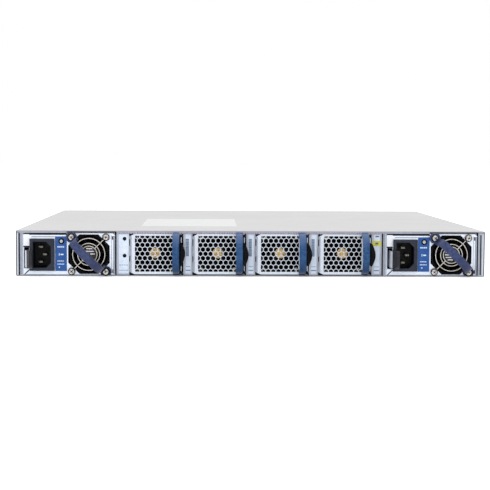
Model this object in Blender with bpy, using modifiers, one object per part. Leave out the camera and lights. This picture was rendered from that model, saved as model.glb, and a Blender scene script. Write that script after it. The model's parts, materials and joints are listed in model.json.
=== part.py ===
"""A 1U rackmount network switch with hot-swap fan and power modules.

Metres, +Z up. The module side (fans and power supplies) faces -Y and the port side faces +Y.
The origin is at the middle of the bounding box, on the bottom face.
"""

import math

import bmesh
import bpy
from mathutils import Matrix, Vector

MM = 0.001
GAP = 0.3 * MM  # between pieces that touch on the real object

# Chassis
CHASSIS_W = 440 * MM
CHASSIS_D = 406 * MM
CHASSIS_H = 43 * MM
SHEET = 1.0 * MM
LIP_BOTTOM = 41.1 * MM  # lower edge of the cover's folded lip
LEFT_FOLD = 217.9 * MM  # inner edges of the side walls' inward folds, from the middle
RIGHT_FOLD = 214.0 * MM
HANDLE_REACH = 33 * MM  # how far the power supply straps stand out
CAGE_REACH = 1.0 * MM  # how far the port cages stand out
REAR_Y = -(CHASSIS_D + HANDLE_REACH + CAGE_REACH) / 2 + HANDLE_REACH  # plane of the module faces
PORT_Y = REAR_Y + CHASSIS_D  # outer face of the port panel
HALF_W = CHASSIS_W / 2
FRAME_Y = REAR_Y + SHEET + GAP  # the rear frame sits just behind the cover's lip
FRAME_TOP = CHASSIS_H - SHEET - GAP
WINDOW_TOP = 40.5 * MM

# Fan modules
FAN_COUNT = 4
FAN_PITCH = 59.1 * MM
FAN_W = 50.0 * MM
FAN_LEFT = -(FAN_PITCH * (FAN_COUNT - 1) + FAN_W) / 2
FAN_Z0 = 2.0 * MM
FAN_Z1 = 39.8 * MM
FAN_DEPTH = 60 * MM
FAN_SHEET = 0.8 * MM
FAN_LOW = -0.7 * MM  # edges of the module, from its datum
FAN_HIGH = 49.4 * MM
FAN_BEVEL = (3.5 * MM, 2.1 * MM)  # left corners, across and up
FAN_CORNER = 1.2 * MM  # right corners
FAN_FACE_Y = REAR_Y + GAP
FAN_TRAVEL_CLEARANCE = 0.3 * MM

# Perforated screen of a fan module: hexagonal holes on a 3/16 inch staggered pitch
HEX_PITCH = 4.7625 * MM
HEX_FLATS = 3.85 * MM
HEX_ROWS = 4  # rows on each side of the middle one
HEX_COLUMNS = 8
SCREEN_LEFT = 4.3 * MM
SCREEN_RIGHT = 40.2 * MM
SCREEN_HALF_H = 16.9 * MM
SCREEN_FIRST_HOLE = 6.6 * MM
SCREEN_Z = 21.3 * MM

# Axial fans
FAN_SIZE = 36.4 * MM
FAN_THICK = 28 * MM
FAN_BORE_R = 17.4 * MM
HUB_R = 8.6 * MM
BLADE_R = 16.8 * MM
BLADES = 7
FAN_SIDES = 32
FAN_CENTRE_X = 23.0 * MM  # from a fan module's left edge
FAN_CENTRE_Z = FAN_Z0 + FAN_SHEET + 0.1 * MM + FAN_SIZE / 2
FAN_SETBACK = 9.5 * MM  # screen to fan
LATCH_NOTCH = (46.3 * MM, 5.0 * MM, 37.0 * MM)  # left edge, lower end and upper end
FAN_PLUG_X = 25.0 * MM

# Power supplies
PSU_DATUM_X = (-213.2 * MM, 127.4 * MM)  # what the features of a power supply are measured from
PSU_FACE_LOW = -0.9 * MM
PSU_FACE_HIGH = 85.3 * MM
PSU_RAIL = 2.5 * MM  # the case is this much wider than its face, on the left
PSU_BAY_LOW = PSU_FACE_LOW - PSU_RAIL - 1.1 * MM
PSU_BAY_HIGH = PSU_FACE_HIGH + 1.3 * MM
PSU_Z0 = 1.3 * MM
PSU_Z1 = 41.0 * MM
PSU_DEPTH = 197 * MM
PSU_SHEET = 0.8 * MM
PSU_FAN_X = 61.0 * MM
PSU_FAN_Z = 20.75 * MM
PSU_INLET_END = 40.5 * MM  # where the inlet half of the face ends and the fan half begins
OCTAGON_W = 38.8 * MM
OCTAGON_H = 37.2 * MM
OCTAGON_CUT = 10.6 * MM
SCREW_HALF = 16.0 * MM  # half the fan's 32 mm screw spacing
GUARD_RINGS = (15.0 * MM, 10.3 * MM, 7.7 * MM)
WIRE_R = 0.5 * MM
STRAP_W = 8.6 * MM
STRAP_T = 1.8 * MM
STRAP_TAB_R = 5.2 * MM

# Mains inlet, turned so that its long side is vertical
INLET_LOW = (5.9 * MM, 5.1 * MM)
INLET_HIGH = (29.1 * MM, 35.3 * MM)
INLET_PROUD = 2.0 * MM
INLET_BODY_DEPTH = 24 * MM
CAVITY_LOW = (8.9 * MM, 8.0 * MM)
CAVITY_HIGH = (25.7 * MM, 32.5 * MM)
CAVITY_CUT = 4.6 * MM
CAVITY_DEPTH = 16.5 * MM
PINS = ((15.7 * MM, 27.3 * MM), (15.7 * MM, 13.3 * MM), (19.6 * MM, 20.3 * MM))

# Main board and what stands on it
BOARD_Z = 6.0 * MM
BOARD_T = 1.6 * MM
BOARD_TOP = BOARD_Z + BOARD_T
BAY_END = REAR_Y + PSU_DEPTH + 9 * MM  # the deep end of the power supply bays
CHIP_Y = PORT_Y - 128 * MM
CHIP_SIZE = 44 * MM
CHIP_T = 3.5 * MM
MEMORY_LEFT = 110 * MM

# Port side
PORT_W = 18.6 * MM
PORT_H = 8.8 * MM
PORT_PITCH = 22 * MM
PORT_COLUMNS = 4
PORT_DEPTH = 52 * MM
CAGE_LEN = 61 * MM
CAGE_LEFTS = (60 * MM, -34 * MM)
CAGE_Z = BOARD_TOP + GAP
CAGE_H = 23.6 * MM
ROW_Z = (1.3 * MM, 13.1 * MM)  # port floors above the cage's underside
SMALL_PORT_W = 14.0 * MM
SMALL_PORT_PITCH = 15.5 * MM
SMALL_CAGE_LEFT = -76 * MM
JACK_LEFT = -104 * MM
JACK_W = 17 * MM
JACK_H = 27.5 * MM
JACK_DEPTH = 26 * MM
USB_LEFT = -126 * MM
USB_W = 14.4 * MM
USB_H = 7.2 * MM
PANEL_T = 1.2 * MM

PARTS = "rackmount network switch"
TOOLS = "cutters"

# Matrices that stand a flat outline up. Its own X, Y and Z become the three directions named.
FACING_Y = Matrix(((1, 0, 0), (0, 0, -1), (0, 1, 0))).to_4x4()  # X, Z, towards -Y
FACING_X = Matrix(((0, 0, 1), (1, 0, 0), (0, 1, 0))).to_4x4()  # Y, Z, towards +X
FACING_Z = Matrix.Identity(4)


def clear_scene():
    for obj in list(bpy.data.objects):
        bpy.data.objects.remove(obj, do_unlink=True)
    for name in (PARTS, TOOLS):
        collection = bpy.data.collections.new(name)
        bpy.context.scene.collection.children.link(collection)


def material(name, colour, roughness, metallic=0.0):
    made = bpy.data.materials.new(name)
    made.use_nodes = True
    shader = made.node_tree.nodes["Principled BSDF"]
    shader.inputs["Base Color"].default_value = (*colour, 1.0)
    shader.inputs["Roughness"].default_value = roughness
    shader.inputs["Metallic"].default_value = metallic
    return made


def add_mesh(name, mesh, finish=None):
    obj = bpy.data.objects.new(name, mesh)
    bpy.data.collections[PARTS].objects.link(obj)
    if finish:
        mesh.materials.append(finish)
    return obj


def as_tool(obj):
    """Moves an object to the cutters, which aren't parts."""
    bpy.data.collections[PARTS].objects.unlink(obj)
    bpy.data.collections[TOOLS].objects.link(obj)
    obj.hide_render = True
    obj.display_type = "WIRE"
    return obj


def box(name, low, high, finish=None):
    low, high = Vector(low), Vector(high)
    bm = bmesh.new()
    bmesh.ops.create_cube(bm, size=1.0)
    size = high - low
    bmesh.ops.scale(bm, vec=size, verts=bm.verts)
    bmesh.ops.translate(bm, vec=(low + high) / 2, verts=bm.verts)
    mesh = bpy.data.meshes.new(name)
    bm.to_mesh(mesh)
    bm.free()
    return add_mesh(name, mesh, finish)


def rod(name, start, end, radius, sides, finish=None):
    """A closed cylinder between two points."""
    start, end = Vector(start), Vector(end)
    along = end - start
    bm = bmesh.new()
    bmesh.ops.create_cone(
        bm, cap_ends=True, segments=sides, radius1=radius, radius2=radius, depth=along.length
    )
    turn = along.to_track_quat("Z", "Y").to_matrix().to_4x4()
    bmesh.ops.transform(bm, matrix=Matrix.Translation((start + end) / 2) @ turn, verts=bm.verts)
    mesh = bpy.data.meshes.new(name)
    bm.to_mesh(mesh)
    bm.free()
    return add_mesh(name, mesh, finish)


def ring(name, centre, radius, wire, sides, wire_sides):
    """A torus whose axis is along Y."""
    bpy.ops.mesh.primitive_torus_add(
        major_radius=radius,
        minor_radius=wire,
        major_segments=sides,
        minor_segments=wire_sides,
        location=centre,
        rotation=(math.pi / 2, 0, 0),
    )
    obj = bpy.context.object
    obj.name = name
    for collection in list(obj.users_collection):
        collection.objects.unlink(obj)
    bpy.data.collections[PARTS].objects.link(obj)
    return obj


def outline_curve(loops, extrude=0.0):
    """2D curve data: the first loop is the edge of the sheet and the rest are holes."""
    curve = bpy.data.curves.new("outline", "CURVE")
    curve.dimensions = "2D"
    curve.fill_mode = "BOTH"
    curve.extrude = extrude
    for loop in loops:
        spline = curve.splines.new("POLY")
        spline.points.add(len(loop) - 1)
        for point, (x, y) in zip(spline.points, loop):
            point.co = (x, y, 0, 1)
        spline.use_cyclic_u = True
    return curve


def curve_mesh(curve, placing):
    """The mesh that a curve makes, with its caps welded and its flat faces whole."""
    carrier = bpy.data.objects.new("outline", curve)
    bpy.context.scene.collection.objects.link(carrier)
    bpy.context.view_layer.update()
    graph = bpy.context.evaluated_depsgraph_get()
    mesh = bpy.data.meshes.new_from_object(carrier.evaluated_get(graph))
    bpy.data.objects.remove(carrier)
    bm = bmesh.new()
    bm.from_mesh(mesh)
    bmesh.ops.remove_doubles(bm, verts=bm.verts, dist=0.001 * MM)
    if len(curve.splines) == 1:
        flat = math.radians(0.01)
        bmesh.ops.dissolve_limit(bm, angle_limit=flat, verts=bm.verts, edges=bm.edges)
    bmesh.ops.transform(bm, matrix=placing, verts=bm.verts)
    bm.to_mesh(mesh)
    bm.free()
    return mesh


def plate(name, loops, placing, start, thickness, finish=None):
    """A flat outline made solid. It begins at start and grows along the outline's own Z."""
    along = placing.to_3x3() @ Vector((0, 0, 1))
    middle = Matrix.Translation(Vector(start) + along * thickness / 2)
    return add_mesh(name, curve_mesh(outline_curve(loops, thickness / 2), middle @ placing), finish)


def rectangle(x0, y0, x1, y1):
    return [(x0, y0), (x1, y0), (x1, y1), (x0, y1)]


def cut_corners(x0, y0, x1, y1, cut):
    """A rectangle with its four corners cut off at 45 degrees."""
    return [
        (x0 + cut, y0),
        (x1 - cut, y0),
        (x1, y0 + cut),
        (x1, y1 - cut),
        (x1 - cut, y1),
        (x0 + cut, y1),
        (x0, y1 - cut),
        (x0, y0 + cut),
    ]


def circle(x, y, radius, sides):
    turns = [2 * math.pi * (i + 0.5) / sides for i in range(sides)]
    return [(x + radius * math.cos(t), y + radius * math.sin(t)) for t in turns]


def band(path, thickness):
    """The closed outline of a strip that follows a path, half its thickness to each side."""
    left, right = [], []
    for i, point in enumerate(path):
        before, after = Vector(path[max(i - 1, 0)]), Vector(path[min(i + 1, len(path) - 1)])
        along = (after - before).normalized()
        normal = Vector((-along.y, along.x)) * thickness / 2
        left.append(tuple(Vector(point) + normal))
        right.append(tuple(Vector(point) - normal))
    return left + right[::-1]


def boolean(target, tool, operation):
    if tool.name not in bpy.data.collections[TOOLS].objects:
        as_tool(tool)
    modifier = target.modifiers.new(operation.lower(), "BOOLEAN")
    modifier.operation = operation
    modifier.solver = "EXACT"
    modifier.object = tool
    return target


def join(target, *tools):
    for tool in tools:
        boolean(target, tool, "UNION")
    return target


def cut(target, *tools):
    for tool in tools:
        boolean(target, tool, "DIFFERENCE")
    return target


def thicken(obj, thickness, offset=-1):
    modifier = obj.modifiers.new("sheet", "SOLIDIFY")
    modifier.thickness = thickness
    modifier.offset = offset
    modifier.use_even_offset = True
    return obj


def channel(name, section, y0, y1, thickness, finish):
    """Sheet folded to a section in X and Z, whose outer side is on the right of the path."""
    curve = outline_curve([section], (y1 - y0) / 2)
    curve.splines[0].use_cyclic_u = False
    placing = Matrix.Translation((0, (y0 + y1) / 2, 0)) @ FACING_Y
    return thicken(add_mesh(name, curve_mesh(curve, placing), finish), thickness, 1)


def smooth(obj, angle=40):
    obj.data.shade_smooth()
    obj.data.set_sharp_from_angle(angle=math.radians(angle))
    return obj


def materials():
    return {
        "steel": material("galvanised_steel", (0.72, 0.74, 0.78), 0.35, 0.9),
        "cover": material("painted_steel", (0.72, 0.72, 0.72), 0.45, 0.3),
        "panel": material("panel_paint", (0.60, 0.61, 0.63), 0.45, 0.2),
        "black": material("black_plastic", (0.02, 0.02, 0.022), 0.45),
        "inlet": material("inlet_plastic", (0.07, 0.075, 0.085), 0.5),
        "blue": material("blue_plastic", (0.05, 0.12, 0.33), 0.4),
        "wire": material("plated_wire", (0.75, 0.73, 0.70), 0.3, 1.0),
        "board": material("circuit_board", (0.02, 0.16, 0.08), 0.5),
        "aluminium": material("aluminium", (0.75, 0.76, 0.78), 0.4, 1.0),
        "chip": material("chip_package", (0.04, 0.04, 0.045), 0.4),
        "cage": material("port_cage", (0.70, 0.70, 0.68), 0.3, 1.0),
    }


# ---------------------------------------------------------------- chassis


def base_tray(finish):
    """Floor and side walls, folded from one sheet, with the inward folds at the module end."""
    end = PORT_Y - PANEL_T - GAP
    top = CHASSIS_H - SHEET - GAP
    x, y = HALF_W, REAR_Y
    section = [(-x, top), (-x, 0), (x, 0), (x, top)]
    tray = channel("base_tray", section, y, end, SHEET, finish)
    overlap = SHEET / 2
    for x0, x1 in ((-x + overlap, -LEFT_FOLD), (RIGHT_FOLD, x - overlap)):
        join(tray, box("fold", (x0, y, overlap), (x1, y + SHEET, top - SHEET)))
    slot_x, slot_w = RIGHT_FOLD + 1.9 * MM, 0.9 * MM
    cut(tray, box("fold_slot", (slot_x, y - SHEET, 1.6 * MM), (slot_x + slot_w, y + 2 * SHEET, 39.8 * MM)))
    low = (-x - SHEET, y - SHEET, LIP_BOTTOM - GAP)
    cut(tray, box("lip_room", low, (x + SHEET, y + 2.2 * MM, CHASSIS_H)))
    for board_x in (-190 * MM, -95 * MM, 95 * MM, 190 * MM):
        for board_y in (BAY_END + 12 * MM, PORT_Y - 75 * MM):
            start = (board_x, board_y, overlap)
            join(tray, rod("standoff", start, (board_x, board_y, BOARD_Z - GAP), 3 * MM, 8))
    for hole_y in (REAR_Y + 20 * MM, REAR_Y + 52 * MM, PORT_Y - 52 * MM, PORT_Y - 20 * MM):
        for hole_z in (12 * MM, 30 * MM):
            for side in (-1, 1):
                start, stop = side * (x + SHEET), side * (x - 2 * SHEET)
                cut(tray, rod("screw_hole", (start, hole_y, hole_z), (stop, hole_y, hole_z), 2.1 * MM, 8))
    return tray


def top_cover(finish):
    """Lid with a short folded lip, left out over the fan half of each power supply."""
    end = PORT_Y - PANEL_T - GAP
    radius, steps = 0.9 * MM, 4
    profile = [(REAR_Y, LIP_BOTTOM)]
    for i in range(steps + 1):
        turn = math.radians(90) * i / steps
        along, up = radius * (1 - math.cos(turn)), radius * (1 - math.sin(turn))
        profile.append((REAR_Y + along, CHASSIS_H - up))
    profile += [(end, CHASSIS_H), (end, CHASSIS_H - SHEET), (REAR_Y + SHEET, CHASSIS_H - SHEET)]
    profile.append((REAR_Y + SHEET, LIP_BOTTOM))
    cover = plate("top_cover", [profile], FACING_X, (-HALF_W, 0, 0), CHASSIS_W, finish)
    for left in PSU_DATUM_X:
        low = (left + PSU_INLET_END, REAR_Y - SHEET, LIP_BOTTOM - SHEET)
        high = (left + PSU_BAY_HIGH, REAR_Y + SHEET + GAP, CHASSIS_H - SHEET + 0.1 * MM)
        cut(cover, box("lip_notch", low, high))
    return cover


def fan_left(index):
    return FAN_LEFT + FAN_PITCH * index


def rear_frame(finish):
    """Comb of posts between the bays, hanging from a rail behind the cover's lip."""
    clear = FAN_TRAVEL_CLEARANCE
    left, right = PSU_DATUM_X[0] + PSU_BAY_HIGH, PSU_DATUM_X[1] + PSU_BAY_LOW
    low = SHEET + GAP
    edge = [(left, low)]
    for i in range(FAN_COUNT):
        x0, x1 = fan_left(i) + FAN_LOW - clear, fan_left(i) + FAN_HIGH + clear
        edge += [(x0, low), (x0, WINDOW_TOP), (x1, WINDOW_TOP), (x1, low)]
    edge += [(right, low), (right, FRAME_TOP), (left, FRAME_TOP)]
    pad_x = left + 7.6 * MM
    holes = [circle(pad_x, z, 1.7 * MM, 12) for z in (19.4 * MM, 35.2 * MM)]
    start = (0, FRAME_Y + SHEET, 0)
    return plate("rear_frame", [edge, *holes], FACING_Y, start, SHEET, finish)


def bay_divider(name, x0, x1, length, finish):
    """Channel between two bays, open at the top."""
    y0, y1 = FRAME_Y + SHEET + GAP, FRAME_Y + SHEET + GAP + length
    z0, z1 = SHEET + GAP, FRAME_TOP - GAP
    section = [(x0, z1), (x0, z0), (x1, z0), (x1, z1)]
    return channel(name, section, y0, y1, FAN_SHEET, finish)


def dividers(finish):
    long_run, short_run = PSU_DEPTH - 2 * MM, FAN_DEPTH + 5 * MM
    edges = [PSU_DATUM_X[0] + PSU_BAY_HIGH]
    for i in range(FAN_COUNT):
        edges.append(fan_left(i) + FAN_LOW - FAN_TRAVEL_CLEARANCE)
        edges.append(fan_left(i) + FAN_HIGH + FAN_TRAVEL_CLEARANCE)
    edges.append(PSU_DATUM_X[1] + PSU_BAY_LOW)
    for i in range(FAN_COUNT + 1):
        length = short_run if 0 < i < FAN_COUNT else long_run
        bay_divider(f"bay_divider_{i + 1}", edges[2 * i], edges[2 * i + 1], length, finish)


def port_panel(finish):
    """Face plate of the port side, with the port cut-outs and the air slots."""
    clear = GAP
    cage_w = PORT_PITCH * PORT_COLUMNS
    holes = []
    for left in CAGE_LEFTS:
        holes.append(rectangle(left - clear, CAGE_Z - clear, left + cage_w + clear, CAGE_Z + CAGE_H + clear))
    small_w = 2 * SMALL_PORT_PITCH
    for left, width, height in (
        (SMALL_CAGE_LEFT, small_w, CAGE_H),
        (JACK_LEFT, JACK_W, JACK_H),
        (USB_LEFT, USB_W, USB_H),
    ):
        holes.append(rectangle(left - clear, CAGE_Z - clear, left + width + clear, CAGE_Z + height + clear))
    slot_w, slot_pitch, slot_z0, slot_z1 = 3.2 * MM, 5.6 * MM, 7 * MM, 36 * MM
    for first, count in ((156 * MM, 10), (-208 * MM, 13)):
        for i in range(count):
            x = first + slot_pitch * i
            holes.append(rectangle(x, slot_z0, x + slot_w, slot_z1))
    edge = rectangle(-HALF_W, 0, HALF_W, CHASSIS_H)
    return plate("port_panel", [edge, *holes], FACING_Y, (0, PORT_Y, 0), PANEL_T, finish)


def main_board(finish):
    """T-shaped circuit board with the sockets that the modules plug into."""
    wide, stem = 212 * MM, 108 * MM
    y0, y1 = REAR_Y + FAN_DEPTH + 9 * MM, PORT_Y - 6 * MM
    shoulder = BAY_END + 2 * MM
    board = box("main_board", (-wide, shoulder, BOARD_Z), (wide, y1, BOARD_TOP), finish)
    join(board, box("board_stem", (-stem, y0, BOARD_Z), (stem, shoulder + 1 * MM, BOARD_TOP)))
    sink = 0.5 * MM
    for i in range(FAN_COUNT):
        x = fan_left(i) + FAN_W / 2
        low = (x - 7 * MM, y0 + 1 * MM, BOARD_TOP - sink)
        join(board, box("fan_socket", low, (x + 7 * MM, y0 + 11 * MM, BOARD_TOP + 7 * MM)))
    for i in range(2):
        x = PSU_DATUM_X[i] + 43 * MM
        low = (x - 24 * MM, shoulder + 1 * MM, BOARD_TOP - sink)
        join(board, box("power_socket", low, (x + 24 * MM, shoulder + 13 * MM, BOARD_TOP + 9 * MM)))
    low = (MEMORY_LEFT - 6 * MM, CHIP_Y - 36 * MM, BOARD_TOP - sink)
    join(board, box("memory_socket", low, (MEMORY_LEFT - GAP, CHIP_Y + 36 * MM, BOARD_TOP + 8 * MM)))
    return board


def fin_block(name, centre, width, length, base, height, fins, finish):
    """Heat sink: an extruded comb whose fins run along Y."""
    x0, z0 = centre[0] - width / 2, centre[2]
    pitch = width / fins
    fin = pitch * 0.35
    comb = [(x0, z0), (x0 + width, z0)]
    for i in reversed(range(fins)):
        right = x0 + pitch * (i + 0.5) + fin / 2
        left = right - fin
        if i == fins - 1:
            right = x0 + width
        if i == 0:
            left = x0
        comb += [(right, z0 + base)] if i < fins - 1 else []
        comb += [(right, z0 + height), (left, z0 + height)]
        comb += [(left, z0 + base)] if i > 0 else []
    start = (0, centre[1] + length / 2, 0)
    return plate(name, [comb], FACING_Y, start, length, finish)


def electronics(finish):
    half = CHIP_SIZE / 2
    chip_low = (-half, CHIP_Y - half, BOARD_TOP + GAP)
    box("switch_chip", chip_low, (half, CHIP_Y + half, BOARD_TOP + CHIP_T), finish["chip"])
    seat = (0, CHIP_Y, BOARD_TOP + CHIP_T + GAP)
    fin_block("switch_heatsink", seat, 90 * MM, 80 * MM, 4 * MM, 27 * MM, 18, finish["aluminium"])
    seat = (-140 * MM, CHIP_Y, BOARD_TOP + GAP)
    fin_block("processor_heatsink", seat, 48 * MM, 48 * MM, 4 * MM, 20 * MM, 12, finish["aluminium"])
    low = (MEMORY_LEFT, CHIP_Y - 33.8 * MM, BOARD_TOP + 4 * MM)
    high = (MEMORY_LEFT + 30 * MM, CHIP_Y + 33.8 * MM, BOARD_TOP + 7.5 * MM)
    box("memory_module", low, high, finish["board"])


def cage(name, left, columns, pitch, width, finish):
    """Stacked port cages made as one body, with blind cavities open to +Y."""
    y1 = PORT_Y + CAGE_REACH
    low, high = (left, y1 - CAGE_LEN, CAGE_Z), (left + pitch * columns, y1, CAGE_Z + CAGE_H)
    body = box(name, low, high, finish)
    for column in range(columns):
        for row in ROW_Z:
            x0 = left + pitch * column + (pitch - width) / 2
            z0 = CAGE_Z + row
            cavity_low = (x0, y1 - PORT_DEPTH, z0)
            cut(body, box("port", cavity_low, (x0 + width, y1 + 2 * MM, z0 + PORT_H)))
    return body


def small_ports(finish):
    y1 = PORT_Y + CAGE_REACH
    jack = box(
        "network_jack",
        (JACK_LEFT, y1 - JACK_DEPTH, CAGE_Z),
        (JACK_LEFT + JACK_W, y1, CAGE_Z + JACK_H),
        finish["cage"],
    )
    for z0 in (2.2 * MM, 15.6 * MM):
        x = JACK_LEFT + JACK_W / 2
        low = (x - 5.9 * MM, y1 - 14 * MM, CAGE_Z + z0)
        cut(jack, box("jack_mouth", low, (x + 5.9 * MM, y1 + 2 * MM, CAGE_Z + z0 + 7.6 * MM)))
        low = (x - 3.0 * MM, y1 - 14 * MM, CAGE_Z + z0 + 7.0 * MM)
        cut(jack, box("jack_notch", low, (x + 3.0 * MM, y1 + 2 * MM, CAGE_Z + z0 + 9.8 * MM)))
    usb = box(
        "usb_port",
        (USB_LEFT, y1 - 18 * MM, CAGE_Z),
        (USB_LEFT + USB_W, y1, CAGE_Z + USB_H),
        finish["cage"],
    )
    low = (USB_LEFT + 0.9 * MM, y1 - 12 * MM, CAGE_Z + 1.0 * MM)
    cut(usb, box("usb_mouth", low, (USB_LEFT + USB_W - 0.9 * MM, y1 + 2 * MM, CAGE_Z + USB_H - 1.0 * MM)))
    low = (USB_LEFT + 1.6 * MM, y1 - 12.5 * MM, CAGE_Z + 3.9 * MM)
    join(usb, box("usb_tongue", low, (USB_LEFT + USB_W - 1.6 * MM, y1 - 2 * MM, CAGE_Z + 5.4 * MM)))


def chassis(finish):
    base_tray(finish["steel"])
    top_cover(finish["cover"])
    rear_frame(finish["steel"])
    dividers(finish["steel"])
    port_panel(finish["panel"])
    main_board(finish["board"])
    electronics(finish)
    for i, left in enumerate(CAGE_LEFTS):
        cage(f"port_cage_{i + 1}", left, PORT_COLUMNS, PORT_PITCH, PORT_W, finish["cage"])
    cage("small_port_cage", SMALL_CAGE_LEFT, 2, SMALL_PORT_PITCH, SMALL_PORT_W, finish["cage"])
    small_ports(finish)


# ---------------------------------------------------------------- axial fan


def fan_housing(name, x, y, z, finish):
    """Square fan frame with its round bore, and the motor seat on four struts at the far end."""
    half = FAN_SIZE / 2
    loops = [rectangle(x - half, z - half, x + half, z + half), circle(x, z, FAN_BORE_R, FAN_SIDES)]
    frame = plate(name, loops, FACING_Y, (0, y + FAN_THICK, 0), FAN_THICK, finish)
    seat_y = y + FAN_THICK - 4 * MM
    join(frame, rod("motor_seat", (x, seat_y, z), (x, y + FAN_THICK - 0.5 * MM, z), HUB_R, 20))
    reach, half_strut = FAN_BORE_R + 0.4 * MM, 1.1 * MM
    strut_low, strut_high = seat_y + 0.5 * MM, y + FAN_THICK - 1 * MM
    low, high = (x - reach, strut_low, z - half_strut), (x + reach, strut_high, z + half_strut)
    join(frame, box("strut", low, high))
    low, high = (x - half_strut, strut_low, z - reach), (x + half_strut, strut_high, z + reach)
    join(frame, box("strut", low, high))
    return smooth(frame)


def blade_skins(length):
    """Seven twisted blade surfaces about the Y axis, leading edge at y = 0."""
    bm = bmesh.new()
    chord_steps, sweep = 3, math.radians(34)
    root = HUB_R - 0.8 * MM
    for blade in range(BLADES):
        grid = bmesh.ops.create_grid(bm, x_segments=1, y_segments=chord_steps, size=1.0)
        for vert in grid["verts"]:
            across, along = (vert.co.x + 1) / 2, (vert.co.y + 1) / 2
            radius = root + (BLADE_R - root) * across
            lag = math.radians(8) * across
            angle = 2 * math.pi * blade / BLADES + sweep * along ** 1.3 + lag
            vert.co = (radius * math.cos(angle), length * along, radius * math.sin(angle))
    mesh = bpy.data.meshes.new("blades")
    bm.to_mesh(mesh)
    bm.free()
    return mesh


def fan_rotor(name, x, y, z, finish):
    """Hub and blades, with the origin on the spin axis at the hub's face."""
    hub_depth = FAN_THICK - 4 * MM - 3 * MM - GAP
    rotor = rod(name, (0, 0, 0), (0, hub_depth, 0), HUB_R, 20, finish)
    blades = add_mesh("blades", blade_skins(hub_depth - 5 * MM))
    thicken(blades, 1.1 * MM).modifiers["sheet"].offset = 0
    blades.location = (0, 2.5 * MM, 0)
    join(rotor, blades)
    rotor.location = (x, y + 3 * MM, z)
    blades.parent = rotor
    return smooth(rotor)


# ---------------------------------------------------------------- fan module


def clamp(value, low, high):
    return max(low, min(high, value))


def screen_holes(left):
    """Hexagonal holes in staggered rows, clipped to the screen's rectangle."""
    radius = HEX_FLATS / math.sqrt(3)
    low = (left + SCREEN_LEFT, SCREEN_Z - SCREEN_HALF_H)
    high = (left + SCREEN_RIGHT, SCREEN_Z + SCREEN_HALF_H)
    smallest = 0.35 * HEX_FLATS
    holes = []
    for row in range(-HEX_ROWS, HEX_ROWS + 1):
        z = SCREEN_Z + row * HEX_PITCH * math.sin(math.radians(60))
        shift = HEX_PITCH / 2 if row % 2 else 0
        for column in range(HEX_COLUMNS):
            x = left + SCREEN_FIRST_HOLE - shift + HEX_PITCH * column
            points = []
            for corner in range(6):
                turn = math.radians(30 + 60 * corner)
                px = clamp(x + radius * math.cos(turn), low[0], high[0])
                pz = clamp(z + radius * math.sin(turn), low[1], high[1])
                points.append((px, pz))
            kept = [p for i, p in enumerate(points) if not on_line(points[i - 1], p, points[(i + 1) % 6])]
            wide = max(p[0] for p in points) - min(p[0] for p in points)
            tall = max(p[1] for p in points) - min(p[1] for p in points)
            if min(wide, tall) > smallest and len(kept) > 2:
                holes.append(kept)
    return holes


def on_line(a, b, c):
    """True if b adds nothing to the path from a to c."""
    area = (b[0] - a[0]) * (c[1] - a[1]) - (c[0] - a[0]) * (b[1] - a[1])
    return abs(area) < 1e-3 * MM * MM


def fan_face(name, left, finish):
    """Perforated face plate, with a tall notch at the right for the latch spring."""
    x0, x1, z0, z1 = left + FAN_LOW, left + FAN_HIGH, FAN_Z0, FAN_Z1
    across, up = FAN_BEVEL
    notch_x, notch_low, notch_high = LATCH_NOTCH
    notch_x += left
    edge = [(x0, z0 + up), (x0 + across, z0), (x1 - FAN_CORNER, z0), (x1, z0 + FAN_CORNER)]
    edge += [(x1, notch_low), (notch_x, notch_low), (notch_x, notch_high), (x1, notch_high)]
    edge += [(x1, z1 - FAN_CORNER), (x1 - FAN_CORNER, z1), (x0 + across, z1), (x0, z1 - up)]
    back = (0, FAN_FACE_Y + FAN_SHEET, 0)
    return plate(name, [edge, *screen_holes(left)], FACING_Y, back, FAN_SHEET, finish)


def fan_tray(name, left, finish):
    """Open-topped tray with bevelled lower corners, and the blind-mate plug at its far end."""
    x0, x1 = left + FAN_LOW, left + FAN_HIGH
    y0, y1 = FAN_FACE_Y + FAN_SHEET + GAP, FAN_FACE_Y + FAN_DEPTH
    across, up = FAN_BEVEL
    z0, z1 = FAN_Z0, FAN_Z1 - up
    section = [(x0, z1), (x0, z0 + up), (x0 + across, z0)]
    section += [(x1 - FAN_CORNER, z0), (x1, z0 + FAN_CORNER), (x1, z1)]
    tray = channel(name, section, y0, y1, FAN_SHEET, finish)
    low = (x1 - FAN_CORNER, y0 - SHEET, LATCH_NOTCH[1])
    cut(tray, box("latch_window", low, (x1 + SHEET, y0 + 20 * MM, LATCH_NOTCH[2] + 5 * MM)))
    middle = left + FAN_PLUG_X
    low = (middle - 6 * MM, y1 - 6 * MM, z0 + FAN_SHEET / 2)
    join(tray, box("plug_foot", low, (middle + 6 * MM, y1 - 1 * MM, BOARD_TOP + 5.5 * MM)))
    low = (middle - 5 * MM, y1 - 2 * MM, BOARD_TOP + 1.5 * MM)
    join(tray, box("plug", low, (middle + 5 * MM, y1 + 8 * MM, BOARD_TOP + 5.5 * MM)))
    return tray


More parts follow.
